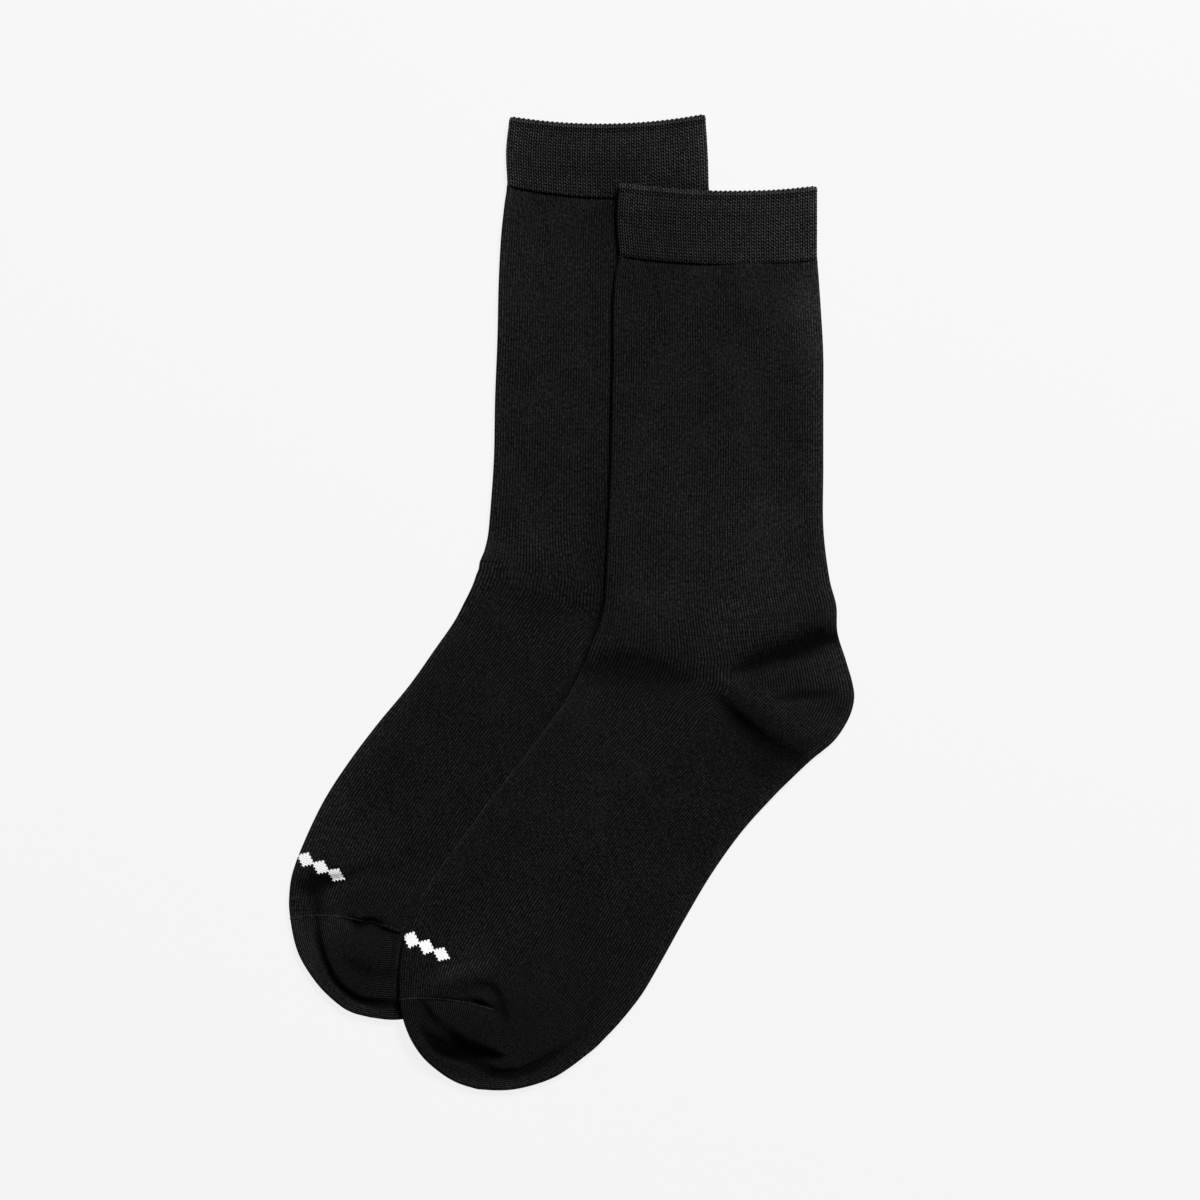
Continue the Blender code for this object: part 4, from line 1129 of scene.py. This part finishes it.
def make_linking(sock):
    """Beads along the front half of the toe seam, over the top, round the fold and underneath."""
    seam = row_number(sock, "toe_seam")
    line = ring_lines(sections_at(sock, [seam]), np.linspace(0, SEAM_SHARE, SEAM_POINTS))[0]
    length = run_along(line)[-1]
    quarter = FOLD_RADIUS * math.pi / 2
    total = length - FOLD_RADIUS + quarter
    count = round(total / WALE_WIDTH)
    over = (np.arange(count) + 0.5) / count * total
    angle = np.clip(over / FOLD_RADIUS, 0, math.pi / 2)
    distance = np.where(over < quarter, FOLD_RADIUS * (1 - np.cos(angle)), FOLD_RADIUS + over - quarter)
    plan = at_distances(line, distance)
    ahead = at_distances(line, distance + AHEAD)
    bead = make_bead()
    beads = []
    for is_top in (True, False):
        height = cloth_heights(sock, plan, np.full(count, is_top))[0]
        next_height = cloth_heights(sock, ahead, np.full(count, is_top))[0]
        for i in range(count):
            along = Vector((*(ahead[i] - plan[i]), next_height[i] - height[i])).normalized()
            up = Vector((0, 0, math.sin(angle[i]) * (1 if is_top else -1)))
            up = (up + OUTWARDS * math.cos(angle[i])).normalized()
            side = up.cross(along).normalized()
            up = along.cross(side)
            slant = BEAD_SLANT + SLANT_CHANGE * math.sin(SLANT_RHYTHM * i)
            copy = bead.copy()
            copy.data = bead.data.copy()
            bpy.context.scene.collection.objects.link(copy)
            where = Vector((*(plan[i] + sock.place), height[i])) * MM
            if not is_top:
                where += Vector((0, 0, DRAWN_IN * MM))
            turned = np.column_stack([
                along * math.cos(slant) + side * math.sin(slant),
                side * math.cos(slant) - along * math.sin(slant),
                up,
            ])
            corners = np.array([v.co for v in copy.data.vertices]) @ turned.T
            copy.data.vertices.foreach_set("co", (corners + np.array(where)).ravel())
            beads.append(copy)
    bpy.data.objects.remove(bead)
    return join(beads, f"{sock.name}_toe_linking")


linkings = {sock.name: make_linking(sock) for sock in (LOWER, UPPER)}
for chain in linkings.values():
    print(chain.name, "has", len(chain.data.polygons), "faces")

# %% [markdown]
# ## Materials
# Every material here is the same black combed cotton with a little elastane, knitted two ways. Dyed
# black cotton isn't perfectly black: its fibres scatter a little light, and the fuzz on the yarn
# catches more of it at a glancing angle, which is what the sheen does. Between the stitches it is
# nearly lightless, and that shade is painted into the colour.


# %% Colours and a helper for nodes
def from_hex(text):
    """An sRGB hex colour as linear RGBA."""
    values = [int(text[i : i + 2], 16) / 255 for i in (1, 3, 5)]
    return (*[v / 12.92 if v <= 0.04045 else ((v + 0.055) / 1.055) ** 2.4 for v in values], 1.0)


def add_node(material, kind, inputs=(), **settings):
    """Adds a shader node with its settings. inputs are in the order of its sockets, or a dictionary
    by name. Each is a value, another node's output, or a node, which gives its first output."""
    node = material.node_tree.nodes.new(f"ShaderNode{kind}")
    for name, value in settings.items():
        setattr(node, name, value)
    for place, value in inputs.items() if isinstance(inputs, dict) else enumerate(inputs):
        if isinstance(value, bpy.types.Node):
            value = value.outputs[0]
        if isinstance(value, bpy.types.NodeSocket):
            material.node_tree.links.new(value, node.inputs[place])
        else:
            node.inputs[place].default_value = value
    return node


YARN = from_hex("#202020")
MARK = from_hex("#f6f6f4")
WHITE = from_hex("#ffffff")
print("yarn, linear:", [round(c, 4) for c in YARN[:3]])

# %% [markdown]
# ### Combed cotton yarn
# Cotton is rough and hardly shines, so it has a high roughness, little specular and a wide, weak
# sheen for the fuzz. Its flecks of fibre are fine noise, 1.3 of them in a millimetre. On the leg
# they lie along the wales, so that noise reads the stitch map. The dye is a little uneven, over
# about 20 mm. The mesh itself holds three numbers at its vertices: how deep in a crease it lies,
# which is painted as shade; how much paler or darker it is, which holds painted light along folds
# and crests, painted shade beside the other sock and other paler and darker places; and how taut
# it is.

# %% Yarn
FLECKS = 1.3  # of fibre in a millimetre
FLECK_LEAST = 0.1
FLECK_STRENGTH, TAUT_CALM = 5.4, -3.0  # less where the cloth is taut
DYE_CLOUDS = 0.045  # in a millimetre
CREASE_SHADE_PAINTED = -0.45  # painted shade: the colour darkens this fast with the depth of a crease
LINT_RISE = 0.5  # how much the flecks raise the surface, beside the stitches


def start_material(name):
    material = bpy.data.materials.new(name)
    material.use_nodes = True
    shader = material.node_tree.nodes["Principled BSDF"]
    shader.inputs["Roughness"].default_value = 0.9
    shader.inputs["Sheen Weight"].default_value = 0.18
    shader.inputs["Sheen Roughness"].default_value = 0.3
    shader.inputs["Sheen Tint"].default_value = from_hex("#606060")
    shader.inputs["Specular IOR Level"].default_value = 0.03
    return material, shader


def finish_material(m, shader, colour, height, depth, strength=1.0):
    """Gives the shader its colour, and the height as a bump of that depth in millimetres."""
    bump = add_node(m, "Bump", {"Height": height, "Distance": depth * MM, "Strength": strength})
    m.node_tree.links.new(colour, shader.inputs["Base Color"])
    m.node_tree.links.new(bump.outputs[0], shader.inputs["Normal"])


def product(m, level, *shares):
    """A level multiplied by each of the shares."""
    for share in shares:
        level = add_node(m, "Math", [level, share], operation="MULTIPLY")
    return level


def wave(m, value, least, most):
    """A smooth wave of period 1, from least to most."""
    cosine = add_node(m, "Math", [product(m, value, math.tau)], operation="COSINE")
    spread, middle = (most - least) / 2, (most + least) / 2
    return add_node(m, "Math", [cosine, spread, middle], operation="MULTIPLY_ADD")


def taut_of(m):
    return add_node(m, "Attribute", attribute_name="taut").outputs["Fac"]


def fibres_of(m, grain=None):
    """Fine random flecks of fibre on a slow unevenness of the dye, both about 1, and the bare
    noise of the flecks. Grain gives the place along the yarn, where flecks have a direction."""
    where = add_node(m, "TexCoord").outputs["Object"]
    along = where if grain is None else grain
    flecks = {"Vector": along, "Scale": FLECKS / MM, "Detail": 3.0, "Roughness": 0.7}
    lint = add_node(m, "TexNoise", flecks)
    strength = add_node(m, "Math", [taut_of(m), TAUT_CALM, FLECK_STRENGTH], operation="MULTIPLY_ADD")
    fleck = add_node(m, "Math", [lint, 0.5], operation="SUBTRACT")
    fleck = add_node(m, "Math", [fleck, strength, 1.0], operation="MULTIPLY_ADD")
    fleck = add_node(m, "Math", [fleck, FLECK_LEAST], operation="MAXIMUM")
    dye = add_node(m, "TexNoise", {"Vector": where, "Scale": DYE_CLOUDS / MM, "Detail": 2.0})
    dye = add_node(m, "Math", [dye, 0.4, 0.8], operation="MULTIPLY_ADD")
    return product(m, fleck, dye), lint


def painted_crease_shade_of(m):
    """Painted shade: the colour darkens with the depth of a crease, where little light gets in."""
    trough = add_node(m, "Attribute", attribute_name="trough").outputs["Fac"]
    return add_node(m, "Math", [product(m, trough, CREASE_SHADE_PAINTED)], operation="EXPONENT")


def painted_light_and_nap_of(m):
    """1 plus the painted light and shade held at the vertices, paler most of all along a fold."""
    nap_and_painted_light = add_node(m, "Attribute", attribute_name="nap_and_painted_light").outputs["Fac"]
    return add_node(m, "Math", [nap_and_painted_light, 1.0], operation="ADD")


print("a fleck of fibre is about", round(1 / FLECKS, 2), "mm wide")

# %% [markdown]
# ### Plain jersey
# In plain jersey each stitch shows as a small V: two legs of yarn that lean together. The wale's
# fraction gives the place across the V, and the course, shifted towards the sides, gives the place
# along a leg. A stitch here is 1.06 mm wide and 0.78 mm high. Loose fibres hide the wales in
# patches, fewer of them towards the toe and none where the cloth is taut.

# %% Stitches
GAP_LEVEL = 0.02  # painted shade: how bright the gaps between wales are, beside the yarn
LEAN = 0.9  # courses that a stitch's legs fall by in the width of a wale
GROOVE_SLOPE, GROOVE_LEVEL = 7.0, 0.45  # of the groove down the middle of a stitch
LEG_LEAST = 0.4  # how high a leg of a stitch is where it goes under the next one
MAT_PATCHES = 0.075  # patches of loose fibre in a millimetre
MAT_SPREAD, MAT_START, MAT_FADE = 4.0, -1.35, -0.0022  # the last is for each course
MAT_SHARE = 0.65  # of the wales' relief, which loose fibres hide at most
MAT_HEIGHT = 0.33


def stitch_place(m):
    """The stitch's wale and course, where a point lies across its wale, from -0.5 to 0.5, and how
    far that is from the middle."""
    split = add_node(m, "SeparateXYZ", [add_node(m, "UVMap", uv_map="stitches")])
    wale, course = split.outputs[0], split.outputs[1]
    part = add_node(m, "Math", [wale], operation="FRACT")
    off_middle = add_node(m, "Math", [part, 0.5], operation="SUBTRACT")
    return wale, course, off_middle, add_node(m, "Math", [off_middle], operation="ABSOLUTE")


def chance_at(m, column, row, least, most):
    """A random level of its own for each stitch."""
    column, row = (add_node(m, "Math", [number], operation="FLOOR") for number in (column, row))
    cell = add_node(m, "CombineXYZ", [column, row])
    dice = add_node(m, "TexWhiteNoise", [cell], noise_dimensions="2D").outputs["Value"]
    return add_node(m, "Math", [dice, most - least, least], operation="MULTIPLY_ADD")


def matted_at(m, course):
    """How far loose fibres hide the wales."""
    where = add_node(m, "TexCoord").outputs["Object"]
    patch = add_node(m, "TexNoise", {"Vector": where, "Scale": MAT_PATCHES / MM, "Detail": 1.0})
    patch = add_node(m, "Math", [patch, MAT_SPREAD, MAT_START], operation="MULTIPLY_ADD")
    patch = add_node(m, "Math", [course, MAT_FADE, patch], operation="MULTIPLY_ADD", use_clamp=True)
    slack = add_node(m, "Math", [1.0, taut_of(m)], operation="SUBTRACT")
    return product(m, patch, MAT_SHARE, slack)


def stitch_height(m, course, side, along):
    """The relief of the stitches, from 0 in the gaps to 1, with the loose fibres over them."""
    groove = add_node(m, "Math", [side, GROOVE_SLOPE, GROOVE_LEVEL], operation="MULTIPLY_ADD")
    groove = add_node(m, "Math", [groove, 1.0, 0.1], operation="SMOOTH_MIN")
    height = product(m, wave(m, side, 0.0, 1.0), groove, wave(m, along, LEG_LEAST, 1.0))
    hidden = add_node(m, "Math", [MAT_HEIGHT, height], operation="SUBTRACT")
    hidden = product(m, matted_at(m, course), hidden)
    return add_node(m, "Math", [height, hidden], operation="ADD")


print("a stitch is", WALE_WIDTH, "mm wide and", COURSE, "mm high")

# %% [markdown]
# ### The motif
# Beside each toe a row of three small stepped diamonds is knitted in white yarn, stitch by stitch.
# The distance from a diamond's middle, counted in wales and courses, says whether a stitch is in it.

# %% Jersey with its motif
MOTIF_ROWS = {"upper": -0.1, "lower": -0.55}  # from the row foot_8 of the tables
DIAMOND_REACH = 3.1  # a diamond's half width in wales, from its middle
DIAMOND_HALF = 3.0  # half the way from one diamond's middle to the next
LAST_WALE = 18.5
COURSE_SHARE = 0.8  # a course counts for this many wales, being less high than a wale is wide
STITCH_LEAST, STITCH_MOST = 0.68, 1.32  # how unlike one another the stitches are
GRAIN = 0.6  # flecks are longer than wide, in the direction of the wales
MARK_LEAST = 0.7  # painted shade: how bright the white yarn's gaps are
JERSEY_DEPTH = 0.2


def motif_at(m, wale, along, motif_course):
    """1 in the stitches of the diamonds, 0 elsewhere."""
    column, row = (add_node(m, "Math", [number], operation="FLOOR") for number in (wale, along))
    across = add_node(m, "Math", [column, DIAMOND_HALF], operation="SUBTRACT")
    across = add_node(m, "Math", [across, DIAMOND_HALF], operation="PINGPONG")
    away = add_node(m, "Math", [row, float(motif_course)], operation="SUBTRACT")
    away = add_node(m, "Math", [away], operation="ABSOLUTE")
    away = add_node(m, "Math", [away, COURSE_SHARE, across], operation="MULTIPLY_ADD")
    within = add_node(m, "Math", [away, DIAMOND_REACH], operation="LESS_THAN")
    return product(m, within, add_node(m, "Math", [column, LAST_WALE], operation="LESS_THAN"))


def make_jersey(name, motif_course):
    """Jersey, with a row of small white diamonds beside the toe at the given course."""
    m, shader = start_material(name)
    wale, course, _, side = stitch_place(m)
    along = add_node(m, "Math", [side, -LEAN, course], operation="MULTIPLY_ADD")
    height = stitch_height(m, course, side, along)
    grain = [product(m, wale, WALE_WIDTH * MM), product(m, course, GRAIN * COURSE * MM)]
    fibres, lint = fibres_of(m, add_node(m, "CombineXYZ", grain).outputs[0])
    # Painted shade in the gaps between the wales.
    painted_stitch_shade = add_node(m, "Math", [height, 1.0 - GAP_LEVEL, GAP_LEVEL], operation="MULTIPLY_ADD")
    level = chance_at(m, wale, along, STITCH_LEAST, STITCH_MOST)
    # Painted shade in creases, and painted light along folds and crests.
    level = product(m, fibres, level, painted_crease_shade_of(m), painted_light_and_nap_of(m), painted_stitch_shade)
    # Painted shade in the white yarn's gaps too.
    white = add_node(m, "Math", [height, 1 - MARK_LEAST, MARK_LEAST], operation="MULTIPLY_ADD")
    yarn = add_node(m, "VectorMath", {0: YARN[:3], "Scale": level}, operation="SCALE")
    mark = add_node(m, "VectorMath", {0: MARK[:3], "Scale": white}, operation="SCALE")
    motif = {"Factor": motif_at(m, wale, along, motif_course), "A": yarn, "B": mark}
    colour = add_node(m, "Mix", motif, data_type="RGBA").outputs["Result"]
    rise = add_node(m, "Math", [lint, LINT_RISE, height], operation="MULTIPLY_ADD")
    finish_material(m, shader, colour, rise, JERSEY_DEPTH)
    return m


def course_of_motif(sock):
    row = row_number(sock, "foot_8") + MOTIF_ROWS[sock.name]
    return round(float(np.interp(row, *front_run(sock))) / COURSE)


for sock in (LOWER, UPPER):
    tubes[sock.name].data.materials.clear()
    material = make_jersey(f"combed_cotton_jersey_{sock.name}", course_of_motif(sock))
    tubes[sock.name].data.materials.append(material)
    print(material.name, "has its motif at course", course_of_motif(sock))

# %% [markdown]
# ### Mock rib and linking yarn
# The cuff's loops are geometry already, so its material paints shade into the holes and on the
# loops' sides, paints the right side of each rib lighter as painted light, adds the painted light and
# shade held at the vertices, varies the yarn from stitch to stitch and adds the fine twist of the
# yarn. The linking yarn needs no pattern but its fibres.

# %% Rib
RIB_POWER, RIB_LEVEL = 1.2, 2.06  # painted shade: how fast the loops' sides darken, and how bright their tops are
RIB_SIDE_LIGHT_PAINTED = 0.3  # painted light: the right side of a rib is painted brighter than its left by this share
RIB_LOOP, RIB_ARM = 0.28, 0.08  # how high the yarn is between loops, and beside them
LOOP_DULL, LOOP_BRIGHT = 0.85, 1.15  # how unlike one another the loops are
RIB_DEPTH, RIB_BUMP = 0.2, 0.8


def make_rib():
    m, shader = start_material("combed_cotton_mock_rib")
    column, row, tilt, side = stitch_place(m)
    slanted = add_node(m, "Math", [tilt, LOOP_SLOPE, -LOOP_RAISE], operation="MULTIPLY_ADD")
    on_right = add_node(m, "Math", [tilt, 0.0], operation="GREATER_THAN")
    along = add_node(m, "Math", [row, product(m, slanted, on_right)], operation="SUBTRACT")
    height = product(m, wave(m, along, RIB_LOOP, 1.0), wave(m, product(m, side, 2.0), 1.0, RIB_ARM))
    # Painted shade in the holes and on the loops' sides, and painted light on the right of each rib.
    painted_stitch_shade = add_node(m, "Math", [height, RIB_POWER], operation="POWER")
    painted_side_light = add_node(m, "Math", [tilt, RIB_SIDE_LIGHT_PAINTED, 1.0], operation="MULTIPLY_ADD")
    fibres, lint = fibres_of(m)
    level = chance_at(m, column, along, LOOP_DULL, LOOP_BRIGHT)
    level = product(m, fibres, level, painted_stitch_shade, RIB_LEVEL, painted_side_light, painted_light_and_nap_of(m))
    colour = add_node(m, "VectorMath", {0: YARN[:3], "Scale": level}, operation="SCALE")
    rise = add_node(m, "Math", [lint, LINT_RISE, height], operation="MULTIPLY_ADD")
    finish_material(m, shader, colour.outputs[0], rise, RIB_DEPTH, RIB_BUMP)
    return m


rib = make_rib()
for cuff in cuffs.values():
    cuff.data.materials.clear()
    cuff.data.materials.append(rib)
print("the cuffs have", rib.name)

# %% Linking yarn
YARN_LEVEL = 1.05
YARN_DEPTH, YARN_BUMP = 0.1, 0.5


def make_linking_yarn():
    m, shader = start_material("combed_cotton_linking_yarn")
    fibres, lint = fibres_of(m)
    level = product(m, fibres, YARN_LEVEL)
    colour = add_node(m, "VectorMath", {0: YARN[:3], "Scale": level}, operation="SCALE")
    finish_material(m, shader, colour.outputs[0], lint, YARN_DEPTH, YARN_BUMP)
    return m


linking_yarn = make_linking_yarn()
for chain in linkings.values():
    chain.data.materials.clear()
    chain.data.materials.append(linking_yarn)
print("the linkings have", linking_yarn.name)

# %% [markdown]
# ## Tie the pieces to the solids
# Each piece rides on the one body and stands for the solids that it dresses.


# %% Ride and replace
def cloth_area(thing):
    """Half the area of a closed shell, which is the area of its cloth."""
    return sum(face.area for face in thing.data.polygons) / 2


for sock in (LOWER, UPPER):
    tube, cuff, chain = tubes[sock.name], cuffs[sock.name], linkings[sock.name]
    print(sock.name, "tube area", round(cloth_area(tube), 4), "cuff area", round(cloth_area(cuff), 4))
    for piece, slot in ((tube, "jersey"), (cuff, "cuff_rib"), (chain, "jersey")):
        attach(piece, "root")
    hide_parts(f"{sock.name}_body", f"{sock.name}_toe")
    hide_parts(f"{sock.name}_cuff")

# %% [markdown]
# ## Stage, light and camera
# A pale floor, one large soft light from the far side and a little to the right, and white
# surroundings that fill the shadows. The camera looks straight down through a long lens, so the
# flat socks are seen without any slant.

# %% Floor, in metres
FLOOR_SIZE = 6.0
FLOOR_DROP = 0.0002  # keeps the floor clear of the cloth's underside
FLOOR_GLOW = 0.846  # white paper lit from all sides glows evenly,
FLOOR_GREY = from_hex("#3f3f3f")  # and takes only a faint shadow
bpy.ops.object.select_all(action="DESELECT")
bpy.ops.mesh.primitive_plane_add(size=FLOOR_SIZE, location=(0, 0, -FLOOR_DROP))
floor = bpy.context.object
floor.name = "pale_floor"
paper = bpy.data.materials.new("white_paper")
paper.use_nodes = True
surface = paper.node_tree.nodes["Principled BSDF"]
surface.inputs["Base Color"].default_value = FLOOR_GREY
surface.inputs["Roughness"].default_value = 0.9
surface.inputs["Specular IOR Level"].default_value = 0.0
surface.inputs["Emission Color"].default_value = WHITE
surface.inputs["Emission Strength"].default_value = FLOOR_GLOW
floor.data.materials.append(paper)
print("the floor is", FLOOR_SIZE, "m wide")

# %% Light, in metres and watts
KEY_PLACE = (0.8, 1.71, 1.48)
KEY_SIZE = 0.75
KEY_POWER = 120.0
FILL_STRENGTH = 0.24
light = bpy.data.lights.new("key_softbox", "AREA")
light.shape = "SQUARE"
light.size = KEY_SIZE
light.energy = KEY_POWER
softbox = bpy.data.objects.new("key_softbox", light)
bpy.context.scene.collection.objects.link(softbox)
softbox.location = KEY_PLACE
softbox.rotation_euler = (-Vector(KEY_PLACE)).to_track_quat("-Z", "Y").to_euler()
world = bpy.data.worlds.new("studio")
bpy.context.scene.world = world
world.use_nodes = True
world.node_tree.nodes["Background"].inputs["Color"].default_value = WHITE
world.node_tree.nodes["Background"].inputs["Strength"].default_value = FILL_STRENGTH
bpy.context.scene.view_settings.view_transform = "Standard"
bpy.context.scene.view_settings.look = "None"
print("the softbox is", round(Vector(KEY_PLACE).length, 2), "m away")

# %% Camera, in metres
EYE = (0.0121, 0.0011, 2.4)
FIELD = 0.510  # width of floor in the frame
camera = bpy.data.cameras.new("camera")
camera.lens = camera.sensor_width * EYE[2] / FIELD
eye = bpy.data.objects.new("camera", camera)
bpy.context.scene.collection.objects.link(eye)
eye.location = EYE
bpy.context.scene.camera = eye
print("lens:", round(camera.lens), "mm")
